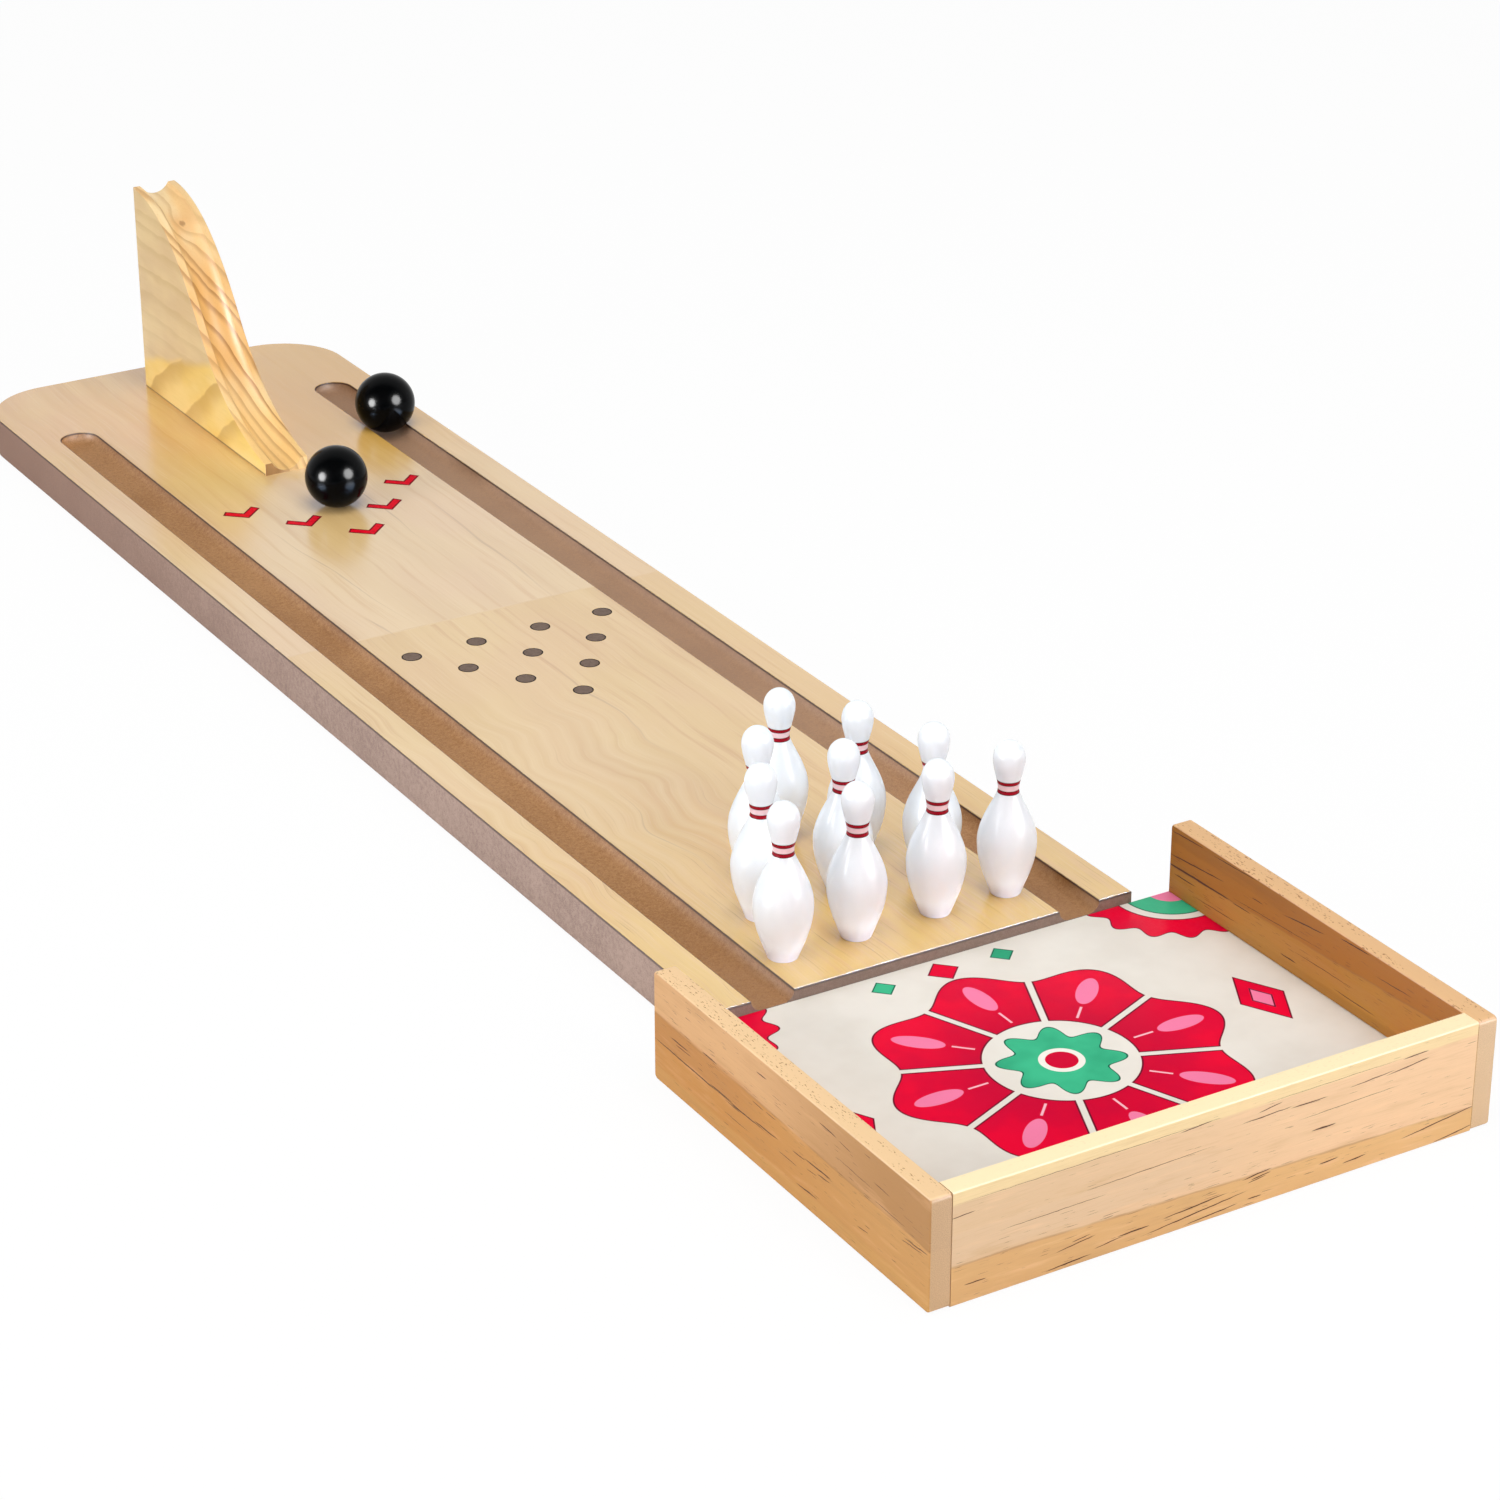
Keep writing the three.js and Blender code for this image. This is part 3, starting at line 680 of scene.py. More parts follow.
# %% Tray sizes, from the CAD boxes
wall_low, wall_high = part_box("tray_left_wall")
right_low, right_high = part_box("tray_right_wall")
floor_low, floor_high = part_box("tray_floor")
rail_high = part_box("tray_rear_rail")[1]
WALL = (wall_high.x - wall_low.x) / MM
WALL_HEIGHT = wall_high.z / MM
TRAY_LENGTH = (wall_high.y - wall_low.y) / MM
INNER_HALF, OUTER_HALF = right_low.x / MM, right_high.x / MM
RAIL_BACK = (rail_high.y - wall_low.y) / MM
FLOOR_TOP, FLOOR_UNDER = floor_high.z / MM, floor_low.z / MM
GROOVE, ROOM, BEYOND = 5, 0.3, 5
DOWEL_RADIUS, DOWEL_LENGTH, SINK = 3, 22, WALL * 0.6
TRAY_PLACE = (0, wall_low.y, 0)
dowel_places = {"lower": (WALL / 2, FLOOR_UNDER / 2),
                "upper": (WALL / 2, FLOOR_TOP + (WALL_HEIGHT - FLOOR_TOP) / 2),
                "rail": (TRAY_LENGTH - WALL / 2, FLOOR_UNDER / 2)}
print("tray", round(TRAY_LENGTH), "long, walls", round(WALL), "x", round(WALL_HEIGHT))

# %% Four pine boards
# A belt: its heights, its reach along the board, its tone and how strong it is
left_pine = pine_board(
    "pine_left_wall", "y", -OUTER_HALF, ends=(20, 170), upper=("ad7b42", "d3a26e"),
    lower=("c48f4d", "c18439"), meet=31, slope=0.018, streaks=left_streaks,
    belts=[(22, 36, 150, 260, "b67a39", 0.7), (0, 8, -40, 300, "cc9a52", 0.4)],
    crown={"height": WALL_HEIGHT, "tone": "e7c598", "flecks": 0.9, "end": "caa782"})
# The right wall's tones are darker than the left's: partly the board's own tone and partly
# painted shade, since its inner face lies in the shade of the left wall.
right_pine_with_painted_shade = pine_board(
    "pine_right_wall", "y", INNER_HALF, ends=(20, 190), upper=("a96a14", "9d610c"),
    lower=("b57d28", "a97120"), meet=45, slope=-0.046, streaks=right_streaks, seed=4.7,
    belts=[(19, 24, -40, 300, "976214", 0.55), (28, 36, 60, 200, "b27a34", 0.5),
           (48, 57, 140, 260, "875410", 0.5), (20, 28, 120, 260, "b07d3c", 0.35)],
    crown={"height": WALL_HEIGHT, "tone": "ddb384", "flecks": 0.85, "end": "dfbe99"})
front_pine = pine_board(
    "pine_front_wall", "x", 0.0, ends=(-120, 120), upper=("d7b58f", "e8c097"),
    lower=("d2a46d", "ddaf76"), meet=16.4, slope=-0.027, streaks=front_streaks, seed=9.1,
    belts=[(50.8, 60, -200, 200, "ead09c", 0.85), (22, 36, -200, 0, "d8b896", 0.5)],
    crown={"height": WALL_HEIGHT, "tone": "f4e0b6", "flecks": 0.12, "end": "d3b08a"})
rail_pine = pine_board(
    "pine_rear_rail", "x", RAIL_BACK, ends=(-120, 120), upper=("d0a878", "d4ad7e"),
    lower=("c7985e", "c49458"), meet=8, slope=0.01, belts=[], seed=2.3,
    streaks=[(-60, 5, 30, 1.2, 0.0), (44, 10, 22, 1, 0.0)],
    crown={"height": FLOOR_UNDER, "tone": "e0c090", "flecks": 0.3, "end": "d3b08a"})
print("pine finishes:", left_pine.name, right_pine_with_painted_shade.name, front_pine.name, rail_pine.name)

# %% [markdown]
# ## The tray
# Two long side walls hold a shorter front wall and a rear rail between them on blind dowels.
# The floor panel slides into a groove in the three walls. The boards are rounded rings, so a
# highlight runs along every eased edge, and the groove and the dowel holes are really cut,
# which shows when the tray is turned over.

# %% Side walls
def dowel_hole(side, y, z):
    tip = side * (INNER_HALF + SINK + ROOM)
    return bar(DOWEL_RADIUS + ROOM, tip, tip - side * (DOWEL_LENGTH + 2 * ROOM), y, z)


def side_wall(name, side, finish, node):
    outline = rounded_rectangle(0, 0, TRAY_LENGTH, WALL_HEIGHT, radius=2.5)
    start = side * INNER_HALF if side > 0 else side * INNER_HALF - WALL
    rings = [[(start + depth, y, z) for y, z, depth in ring]
             for ring in board(outline, WALL, easing=0.8)]
    wall = make(name, loft(rings), TRAY_PLACE)
    inner = side * INNER_HALF
    cut(wall, make("groove_tool", block(inner - GROOVE, WALL - GROOVE, FLOOR_UNDER,
                                        inner + GROOVE, TRAY_LENGTH + BEYOND, FLOOR_TOP + ROOM)))
    for y, z in dowel_places.values():
        cut(wall, make("drill", dowel_hole(side, y, z)))
    return dress(wall, "tray", finish, "side_wall_pine", node)


side_wall("tray_left_board", -1, left_pine, "tray_left_wall")
side_wall("tray_right_board", 1, right_pine_with_painted_shade, "tray_right_wall")

# %% Front wall and rear rail, which stand between the side walls
def crosspiece(name, outline, finish, slot, node, holes, groove):
    rings = [[(x, y, z) for y, z in outline] for x in (-INNER_HALF, INNER_HALF)]
    made = make(name, loft(rings), TRAY_PLACE)
    if groove:
        reach = INNER_HALF + BEYOND
        cut(made, make("groove_tool", block(-reach, WALL - GROOVE, FLOOR_UNDER,
                                            reach, WALL + BEYOND, FLOOR_TOP + ROOM)))
    for side in (-1, 1):
        for hole in holes:
            cut(made, make("drill", dowel_hole(side, *dowel_places[hole])))
    return dress(made, "tray", finish, slot, node)


front_outline = rounded_rectangle(0, 0, WALL, WALL_HEIGHT, radius=0.8, steps=5)
crosspiece("tray_front_board", front_outline, front_pine,
           "front_wall_pine", "tray_front_wall", holes=("lower", "upper"), groove=True)
rail_outline = rounded_rectangle(TRAY_LENGTH - WALL, 0, TRAY_LENGTH, FLOOR_UNDER,
                                 radius=0.5, steps=4)
crosspiece("tray_rear_rail_board", rail_outline, rail_pine,
           "side_wall_pine", "tray_rear_rail", holes=("rail",), groove=False)

# %% [markdown]
# ## The printed floor
# The tray's floor carries a bold print in crimson, green and pink on warm white, under satin
# film. The design here is a plain folk rosette: eight crimson petals with pink lights round a
# green star, quarter rosettes in the corners, a diamond at each side and small diamonds before
# and behind. Each shape is a distance in millimetres from its own edge. The sign of the
# distance fills the shape, and a narrow range of it inks the rim.

# %% Rosette sizes, in millimetres
PETALS, PETAL_FOOT, PETAL_TIP, PETAL_WAVE, PETAL_GAP = 8, 37, 83, 7, 1.6
STAR, STAR_WAVE, HEART, HEART_RING = 27, 4.5, 11, 3.2
FAN_SCALLOPS, FAN_TIP, FAN_WAVE, FAN_FOOT, FAN_CORE, FAN_EYE = 16, 47, 3, 30, 25, 11
LIGHT_PLACE, LIGHT_LONG, LIGHT_WIDE, VEIN_START, VEIN_STOP = 68, 13, 5.2, 41, 52
DIAMOND_PLACE, BEAD_PLACE = 116, 100
print("the rosette is", 2 * (PETAL_TIP + PETAL_WAVE), "mm across")

# %% Rosette print finish
def rosette_print(middle, half_width, half_length):
    pot = Finish("rosette_print")
    x, y = pot.millimetres()[:2]
    y = y - middle
    r = pot.length(x, y)
    turn = pot.maths("ARCTAN2", y, x)
    wave = pot.maths("COSINE", turn * PETALS)
    petal = (turn * (PETALS / (2 * pi)) + 0.5) % 1 - 0.5
    sideways = petal * (2 * pi / PETALS) * r

    def filled(distance):
        return distance.rise(-0.12, 0.12)

    def drawn(colour, distance, fill, edge, width):
        inside = filled(distance)
        return colour.tint(inside, fill).tint(inside * filled(width - distance), edge)

    paper = pot.noise(pot.place(), 700, 2, 0.5)
    cloud = pot.noise(pot.place(), 24, 3, 0.6)
    colour = pot.mix(cloud.spread(), "e6e1d8", "dfd9cf")

    crimson = pot.mix(r.rise(34, 84), "cb0030", "ea0234")
    crimson = crimson.tint(cloud.rise(0.42, 0.62) * 0.35, "bb0436")
    green = pot.mix(cloud.rise(0.35, 0.65), "3fb98a", "2f9f76")
    dark_red, dark_green, pink = "6e0c2a", "16624a", "f07fa6"

    between = (pi / PETALS) * r - abs(sideways) - PETAL_GAP
    petals = pot.least(PETAL_TIP + wave * PETAL_WAVE - r, pot.least(r - PETAL_FOOT, between))
    colour = drawn(colour, petals, crimson, dark_red, 0.9)
    light = 1 - pot.length((r - LIGHT_PLACE) / LIGHT_LONG, sideways / LIGHT_WIDE)
    colour = colour.tint(filled(light * 6), pink)
    vein = abs(sideways).rise(0.8, 0.4) * filled(r - VEIN_START) * filled(VEIN_STOP - r)
    colour = colour.tint(vein, "f3b9c6")

    star = STAR + pot.maths("COSINE", turn * PETALS + pi) * STAR_WAVE - r
    colour = drawn(colour, star, green, dark_green, 0.9)
    heart = HEART - r
    colour = colour.tint(filled(heart), "ece8de")
    colour = colour.tint(filled(heart - HEART_RING), crimson)

    u, v = half_width - abs(x), half_length - abs(y)
    q = pot.length(u, v)
    fan = pot.maths("COSINE", pot.maths("ARCTAN2", v, u) * FAN_SCALLOPS)
    outer = pot.least(FAN_TIP + fan * FAN_WAVE - q, q - FAN_FOOT)
    colour = drawn(colour, outer, crimson, dark_red, 0.8)
    colour = drawn(colour, FAN_CORE - q, green, dark_green, 0.8)
    colour = colour.tint(filled(FAN_EYE - q), pink)

    for tall, wide, fill in ((24, 13, crimson), (11, 6, pink)):
        diamond = (1 - abs(y) / tall - abs(abs(x) - DIAMOND_PLACE) / wide) * (wide * 0.8)
        colour = drawn(colour, diamond, fill, dark_red, 0.7)
    for aside, size, fill, edge in ((34, 7, green, dark_green), (0, 9, crimson, dark_red)):
        bead = size - (abs(abs(x) - aside) + abs(abs(y) - BEAD_PLACE))
        colour = drawn(colour, bead * 0.7, fill, edge, 0.7)

    return pot.surface({"IOR": 1.08}, colour, paper.spread(0.3, 0.38), paper, 0.01)


floor_middle = (WALL + TRAY_LENGTH) / 2
rosette = rosette_print(floor_middle, INNER_HALF, (TRAY_LENGTH - WALL) / 2)
print("rosette print nodes:", len(rosette.node_tree.nodes))

# %% Floor panel: print above, bare board below
left, right = floor_low.x / MM, floor_high.x / MM
front = (floor_low.y - wall_low.y) / MM
outline = [(left, front), (right, front), (right, TRAY_LENGTH), (left, TRAY_LENGTH)]
rings = [[(x, y, FLOOR_UNDER + depth) for x, y, depth in ring]
         for ring in board(outline, FLOOR_TOP - FLOOR_UNDER, easing=0.2, steps=2)]
panel = dress(make("tray_floor_panel", loft(rings), TRAY_PLACE), "tray",
              [rosette, edge_board], "floor_print", "tray_floor")
for face in panel.data.polygons:
    face.material_index = 0 if face.normal.z > 0.9 else 1
print("panel", [round(v) for v in panel.dimensions / MM])

# %% [markdown]
# ## Dowels
# The joints are pinned with fluted beech dowels. They are out of sight, so their CAD solids
# stay, and get the finish of turned beech: fine rays and a pressed, slightly polished skin.

# %% Beech finish on the hidden dowels
def beech():
    pot = Finish("beech")
    x, y, z = pot.millimetres()
    flute = pot.maths("SINE", pot.maths("ARCTAN2", z % 6 - 3, y % 6 - 3) * 14)
    ray = pot.grain(x / 3, y / 0.5, z / 0.5, 3, 0.6)
    colour = pot.mix(ray.rise(0.35, 0.7), "dfbf95", "b98d5c")
    colour = colour.tint(flute.rise(0.6, 1) * 0.25, "9c7446")
    return pot.surface({}, colour, ray.spread(0.45, 0.6), ray + flute * 0.4, 0.06)


beech_finish = beech()
for name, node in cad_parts.items():
    if "dowel" in name:
        node.data.materials.clear()
        node.data.materials.append(beech_finish)
print("dowels in beech:", sum("dowel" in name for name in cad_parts))

# %% [markdown]
# ## The ramp
# The ramp is one pine plank on edge. Its top is sawn to an S and a round groove is cut down it
# for the ball, so the ramp's sides stay a pair of narrow lands. The S is two curves that meet
# at the middle. The groove is made as it is cut: a round bar is swept at a steady depth along
# the S and taken away.

# %% Ramp curve
ramp_low, ramp_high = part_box("ball_ramp")
RAMP_WIDTH = (ramp_high.x - ramp_low.x) / MM
RAMP_LENGTH = (ramp_high.y - ramp_low.y) / MM
RAMP_HEIGHT = (ramp_high.z - ramp_low.z) / MM
RAMP_FOOT, RAMP_STEPS = 7.6, 40
RAMP_GROOVE_RADIUS, RAMP_GROOVE_DEPTH, RAMP_GROOVE_OVERRUN = 11, 6, 6
handles = [(0.245, 0.122), (0.391, 0.296), (0.5, 0.519), (0.609, 0.741), (0.761, 0.993)]
curve_points = [(0, RAMP_FOOT)] + [(a * RAMP_LENGTH, b * RAMP_HEIGHT) for a, b in handles]
curve_points.append((RAMP_LENGTH, RAMP_HEIGHT))


def bezier(a, b, c, d, t):
    s = 1 - t
    return tuple(s ** 3 * p + 3 * s * s * t * q + 3 * s * t * t * r + t ** 3 * w
                 for p, q, r, w in zip(a, b, c, d))


def ramp_curve():
    shares = [i / RAMP_STEPS for i in range(RAMP_STEPS + 1)]
    first = [bezier(*curve_points[:4], t) for t in shares[:-1]]
    return first + [bezier(*curve_points[3:], t) for t in shares]


print("ramp", round(RAMP_WIDTH), "x", round(RAMP_LENGTH), "x", round(RAMP_HEIGHT), "mm")

# %% The plank and its groove
def groove_bar(radius, lift, overrun):
    curve, rings = ramp_curve(), []
    last = len(curve) - 1
    circle = [(radius * cos(a), radius * sin(a)) for a in full_turn(48)]
    for i, (y, z) in enumerate(curve):
        a, b = curve[max(i - 1, 0)], curve[min(i + 1, last)]
        long = hypot(b[0] - a[0], b[1] - a[1])
        ty, tz = (b[0] - a[0]) / long, (b[1] - a[1]) / long
        push = {0: -overrun, last: overrun}.get(i, 0)
        cy, cz = y - tz * lift + ty * push, z + ty * lift + tz * push
        rings.append([(u, cy - tz * v, cz + ty * v) for u, v in circle])
    return loft(rings)


plank_outline = [(0, 0), (RAMP_LENGTH, 0), *reversed(ramp_curve())]
rings = [[(depth - RAMP_WIDTH / 2, y, z) for y, z, depth in ring]
         for ring in board(plank_outline, RAMP_WIDTH, easing=0.6, steps=3)]
ramp_place = (0, ramp_low.y, ramp_low.z)
plank = make("ramp_plank", loft(rings), ramp_place)
groove_lift = RAMP_GROOVE_RADIUS - RAMP_GROOVE_DEPTH
groove = groove_bar(RAMP_GROOVE_RADIUS, groove_lift, RAMP_GROOVE_OVERRUN)
cut(plank, make("groove_tool", groove))
print("ramp plank faces:", len(plank.data.polygons))

# %% [markdown]
# The plank's growth rings stand wide apart and slope across it, more steeply near the foot, so
# the sawn S cuts them in a few dark lines that run slantwise down the groove, while the flat
# side shows the same rings as level, faint lines. High in the groove the rings swell round a
# small brown knot. Lower down the side the wood turns yellow, with curved lines of a knot that
# lies outside the plank. The front end is brown at its left corner. Each ring is a level in a
# slanting height: thin and dark on one side, fading on the other.

# %% Ramp pine finish
def ring_lines(pot, level, lines):
    dark = 0.0
    for line, sharp, fade, share in lines:
        gap = level - line
        one = gap.rise(sharp, 0.0) * gap.rise(-fade, 0.0)
        dark = pot.most(dark, one * share)
    return dark


def ramp_pine():
    pot = Finish("pine_ramp")
    x, y, z = pot.millimetres()
    warp = pot.grain(x / 12, y / 34, z / 26) - 0.5
    small = pot.grain(x / 3, y / 14, z / 5) - 0.5
    facing = pot.parts(pot.place("Normal"))
    side = abs(facing[0]).rise(0.9, 0.98)
    fibre = pot.grain(x / 0.5, y / 24, z / 0.6, 3, 0.6)
    tone = pot.grain(x / 14, y / 50, z / 22).rise(0.35, 0.65)

    aside, back, up = x - 2, y - RAMP_LENGTH * 0.8, z - RAMP_HEIGHT * 0.87
    away = pot.maths("SQRT", aside * aside + back * back * 0.6 + up * up)
    swirl = away.rise(17, 2)
    level = z + x * (z.rise(70, 20) * 1.6 + 1.6) + warp * 9 + small * 1.5 + swirl * 12
    # Each ring: its level, its sharp side, its fading side and how strong it is
    rings = [(160, 1.3, 8, 0.2), (145, 1.3, 8, 0.25), (130, 1.2, 7, 0.35), (115, 1.3, 7, 0.6),
             (99, 1.3, 6, 0.8), (90.5, 1.0, 5, 0.9), (78, 1.4, 7, 0.85), (61, 1.1, 6, 1.0),
             (44, 1.6, 10, 0.7), (25, 1.6, 10, 0.55), (5, 1.8, 10, 0.5), (-16, 1.8, 10, 0.45)]
    dark = ring_lines(pot, level, rings)
    middle = z.rise(22, 50) * z.rise(112, 84)
    colour = pot.mix(tone, "edc68b", "f2d6a3").layers(
        (middle * 0.7, "e2a854"),
        (z.rise(40, 12) * 0.7, "f3c67a"),
        (away.rise(13, 2) * 0.45, "dc9c52"),
        (dark * 0.8, "a3682a"),
        ((away + small * 6).rise(2.6, 0.8) * 0.6, "8a5524"),
        (fibre.rise(0.5, 0.74) * 0.22, "c98f4a"))

    low_zone = (48 - (y - 76) * 0.26 + warp * 9 - z).rise(-4.0, 3.0)
    knot = ring_lines(pot, z + y * 0.85 + warp * 16 + (z * z) * 0.006,
                      [(63, 2.5, 22, 0.9), (104, 2.5, 26, 1.0), (150, 2.5, 26, 1.0)])
    yellow = pot.mix(tone, "ecc66a", "f1cf80").tint(knot * 0.55, "b5802c")
    plain = pot.mix(tone, "d9b987", "e1c48f").layers(
        (dark * 0.32, "b58c50"),
        (low_zone, yellow),
        # Painted contact shadow: the side's lowest millimetre and a half is painted dark brown
        # where the ramp stands on the lane.
        (z.rise(1.6, 1.0) * 0.8, "6e4718"),
        (fibre.rise(0.5, 0.74) * 0.15, "bb9158"))

    front = (facing[1] * -1).rise(0.85, 0.97)
    colour = colour.layers((side, plain), (front * x.rise(10, -6) * 0.8, "9a672f"))
    rough = fibre.spread(0.34, 0.46)
    relief = fibre - dark * 0.3
    return pot.surface({"IOR": 1.35, "Specular IOR Level": 0.3}, colour, rough, relief, 0.04)


dress(plank, "ramp", ramp_pine(), "ramp_pine", "ball_ramp")

# %% [markdown]
# ## Balls
# The balls are turned wood under thick black lacquer, so they are round to the eye, but for a
# small flat at each pole. Black lacquer is hardly a colour at all: what is seen is its gloss.
# Its index of refraction is low, so the white floor leaves it black and only the lamps show as
# two soft glints.

# %% Black lacquer
def black_lacquer():
    pot = Finish("black_lacquer")
    cloud = pot.noise(pot.place(), 90, 3, 0.6)
    dust = pot.noise(pot.place(), 1400, 2, 0.5)
    colour = pot.mix(cloud.spread(), (0.0006, 0.0009, 0.0012), (0.0014, 0.0015, 0.0018))
    rough = cloud.spread(0.17, 0.2) + dust.rise(0.62, 0.75) * 0.03
    gloss = {"IOR": 1.1, "Specular IOR Level": 1.0}
    return pot.surface(gloss, colour, rough, cloud, 0.006)


black = black_lacquer()
print("black lacquer mixed")

# %% Turned solids: a profile spun round the vertical axis
POLE_FLAT = 1.5


def turned(profile, sides):
    return loft([[(r * cos(a), r * sin(a), z) for a in full_turn(sides)] for r, z in profile])


def ball(name, node, body, steps=44):
    low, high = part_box(node)
    radius = (high.x - low.x) / 2 / MM
    start = asin(POLE_FLAT / radius)
    angles = [start + (pi - 2 * start) * i / steps for i in range(steps + 1)]
    profile = [(radius * sin(a), -radius * cos(a)) for a in angles]
    made = make(name, turned(profile, sides=88), (low + high) / 2)
    return dress(made, body, black, "black_lacquer", node)


ball("ball_1_lacquered", "ball_1", "first_ball")
ball("ball_2_lacquered", "ball_2", "second_ball")

# %% [markdown]
# ## Pins
# A pin is turned from one blank: a flat base, a swelling belly, a drawn-in neck and a round
# head. Four curves make its profile. White lacquer covers it, and a printed band rings the
# neck: two dark red lines with a faint pink between them. The band is a set of heights, so it
# needs no extra mesh.

# %% White lacquer with the neck band
NECK_BAND = 59.2


def white_lacquer():
    pot = Finish("white_lacquer")
    x, y, z = pot.millimetres()
    random = pot.node("ShaderNodeObjectInfo", output="Random")
    cloud = pot.grain(x / 9, y / 9, z / 16 + random * 50)
    ripple = pot.grain(x / 30, y / 30, z / 1.2 + random * 90)
    middle = abs(z - NECK_BAND)
    red = middle.rise(1.44, 1.56) * middle.rise(3.64, 3.52)
    edge = abs(middle - 2.54).rise(0.5, 0.85) * red
    colour = pot.mix(cloud.spread(), "ecf2f8", "f2f7fc").layers(
        # Painted shade: the lower body is painted a little greyer, and the foot darker still.
        (z.rise(44, 14), "efefee"),
        (z.rise(11, 1), "d9d0cf"),
        (middle.rise(1.8, 1.6) * 0.85, "f6cdd2"),
        (red, "a00c21"),
        (edge, "4e0912"))
    rough = cloud.spread(0.22, 0.28)
    return pot.surface({"Specular IOR Level": 0.08}, colour, rough, ripple, 0.006)


white = white_lacquer()
print("white lacquer nodes:", len(white.node_tree.nodes))

# %% The pin's profile
PIN_HEIGHT, BASE, BELLY, NECK, HEAD, ROUND = 83, 7.8, 14.9, 5.25, 8.1, 0.8


def pin_profile(steps=16):
    up = PIN_HEIGHT
    foot = arc(BASE - ROUND, ROUND, ROUND, -90, 0, 4)
    swell = BASE + (BELLY - BASE) * 0.51
    curves = [((BASE, ROUND), (swell, 0.13 * up), (BELLY, 0.22 * up), (BELLY, 0.345 * up)),
              ((BELLY, 0.345 * up), (BELLY, 0.49 * up), (NECK, 0.63 * up), (NECK, 0.69 * up)),
              ((NECK, 0.69 * up), (NECK, 0.75 * up), (HEAD, 0.82 * up), (HEAD, 0.89 * up)),
              ((HEAD, 0.89 * up), (HEAD, 0.95 * up), (HEAD * 0.58, up), (0.15, up))]
    return foot + [bezier(*curve, i / steps) for curve in curves for i in range(1, steps + 1)]


print("pin profile:", len(pin_profile()), "points, from base to crown")

# %% Ten pins
TURN_STEP = 2.4
for number in range(1, 11):
    node = f"pin_{number:02d}"
    low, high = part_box(node)
    place = ((low.x + high.x) / 2, (low.y + high.y) / 2, low.z)
    pin = make(f"{node}_turned", turned(pin_profile(), sides=64), place)
    pin.data.transform(Matrix.Rotation(number * TURN_STEP, 4, "Z"))
    dress(pin, f"{node}_body", white, "white_lacquer", node)

# %% [markdown]
# ## Studio
# The photo was taken in a white studio: a white floor and backdrop, and an even light from
# above and from both sides. Three square lamps give that light and are never mirrored; each is
# set by the share of full white it gives to what faces it. The two glints on each ball are two
# round lamps that only gloss can see. Behind the camera the room is dark, or the balls would
# look grey. The lamps stay at a plain level, so a finish shows about as it is written. The
# floor looks white to the camera but keeps a little of the game's shadow.

# %% Floor
def ray_kinds(pot):
    outputs = pot.node("ShaderNodeLightPath").socket.node.outputs
    kinds = ("Camera", "Glossy", "Transmission")
    return [Field(pot, outputs[f"Is {kind} Ray"]) for kind in kinds]


FLOOR_HALF, FLOOR_BOTTOM, FLOOR_LEVEL, FLOOR_GLOW = 6000, -2, -0.3, 0.94
paper = Finish("studio_floor")
grain = paper.noise(paper.place(), 3, 2, 0.5)
grey = paper.mix(grain, (0.86, 0.86, 0.86), (0.88, 0.88, 0.88))
matte = paper.node("ShaderNodeBsdfDiffuse", inputs={"Color": grey})
glow = paper.node("ShaderNodeEmission", inputs={"Color": (1.0, 1.0, 1.0), "Strength": 1.0})
seen, mirrored, through = ray_kinds(paper)
white_share = paper.least(seen + mirrored + through, 1.0) * FLOOR_GLOW
shown = paper.node("ShaderNodeMixShader", inputs={0: white_share, 1: matte, 2: glow})
paper.node("ShaderNodeOutputMaterial", inputs={"Surface": shown})

floor = make("studio_floor", block(-FLOOR_HALF, -FLOOR_HALF, FLOOR_BOTTOM,
                                   FLOOR_HALF, FLOOR_HALF, FLOOR_LEVEL))
floor.data.materials.append(paper.owner)
print("floor laid")

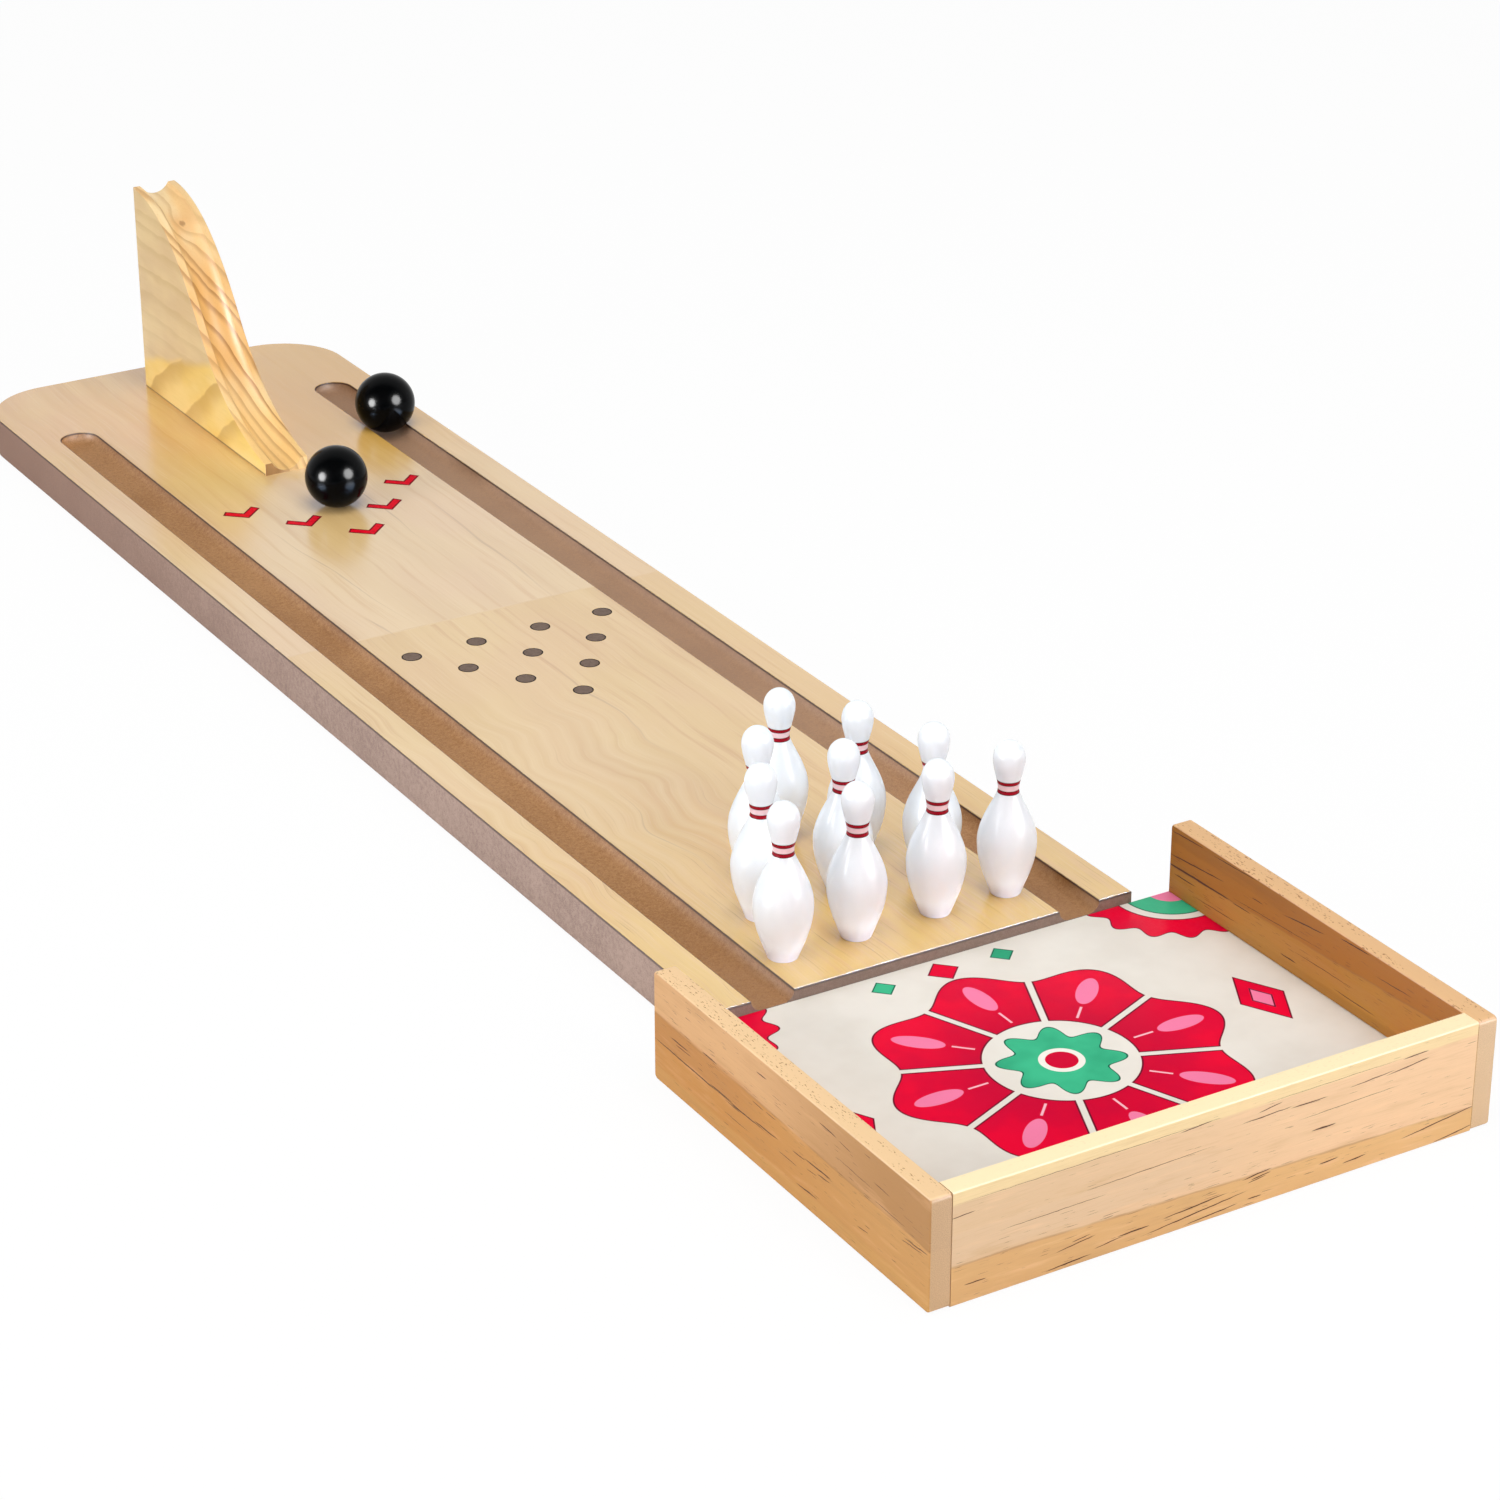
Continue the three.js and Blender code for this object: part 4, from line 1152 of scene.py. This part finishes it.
# %% Sky: white to the lens, dark to gloss behind the camera
SKY, DARK, AWAY_FROM_CAMERA = 0.5, 0.05, (0.514, 0.858, 0.0)
air = Finish("studio_sky", "worlds")
bpy.context.scene.world = air.owner
seen, mirrored, through = ray_kinds(air)
to_backdrop = air.vector("DOT_PRODUCT", air.place("Generated"), AWAY_FROM_CAMERA, output=1)
backdrop = to_backdrop.rise(-0.15, 0.3, DARK, 1.0)
light = 1 - air.least(seen + mirrored + through, 1.0)
strength = seen + through + mirrored * backdrop + light * SKY
glow = air.node("ShaderNodeBackground", inputs={"Color": (1.0, 1.0, 1.0), "Strength": strength})
air.node("ShaderNodeOutputWorld", inputs={"Surface": glow})
print("sky", SKY, "for light, 1 for the lens")

# %% Lamps
LAMP_DISTANCE, LAMP_TARGET = 2.4, Vector((0.0, -0.15, 0.05))


def direction(azimuth, elevation):
    a, e = radians(azimuth), radians(elevation)
    return Vector((sin(a) * cos(e), -cos(a) * cos(e), sin(e)))


def aimed(name, data, place, back):
    made = placed(name, data, place)
    made.rotation_mode = "QUATERNION"
    made.rotation_quaternion = back.to_track_quat("Z", "Y")
    return made


def lamp(name, azimuth, elevation, size, share=0.0, glint=0.0):
    way = direction(azimuth, elevation)
    light = bpy.data.lights.new(name, "AREA")
    light.shape, light.size = "DISK" if glint else "SQUARE", size
    light.energy = glint * pi * size ** 2 if glint else share * pi * pi * LAMP_DISTANCE ** 2
    made = aimed(name, light, LAMP_TARGET + way * LAMP_DISTANCE, way)
    made.visible_diffuse, made.visible_glossy = not glint, bool(glint)


# Azimuth and elevation in degrees, size in metres
lamp("right_softbox", 10, 22, 0.9, share=0.27)
lamp("left_softbox", -91, 18, 0.9, share=0.34)
lamp("overhead", -20, 80, 1.6, share=0.5)
lamp("right_glint", 30, 25, 1.7, glint=65)
lamp("left_glint", -91, 13, 1.2, glint=110)
print("lamps:", [light.name for light in bpy.data.lights])

# %% [markdown]
# ## Camera
# The camera was found by fitting the tray's and the lane's corners to their places in the
# photo, which is square, 1500 pixels each way.

# %% Camera at the photo's angle
FOCAL_PIXELS, FRAME_PIXELS, SENSOR_MM = 4150, 1500, 36
CAMERA_PLACE, AZIMUTH, ELEVATION = (-0.98379, -1.8283, 0.97836), -30.922, 25.557
lens = bpy.data.cameras.new("lens")
lens.sensor_width = SENSOR_MM
lens.lens = FOCAL_PIXELS * SENSOR_MM / FRAME_PIXELS
camera = aimed("camera", lens, CAMERA_PLACE, direction(AZIMUTH, ELEVATION))
bpy.context.scene.camera = camera
bpy.context.scene.view_settings.view_transform = "Standard"
print("lens", round(lens.lens, 1), "mm at", [round(v, 3) for v in camera.location])
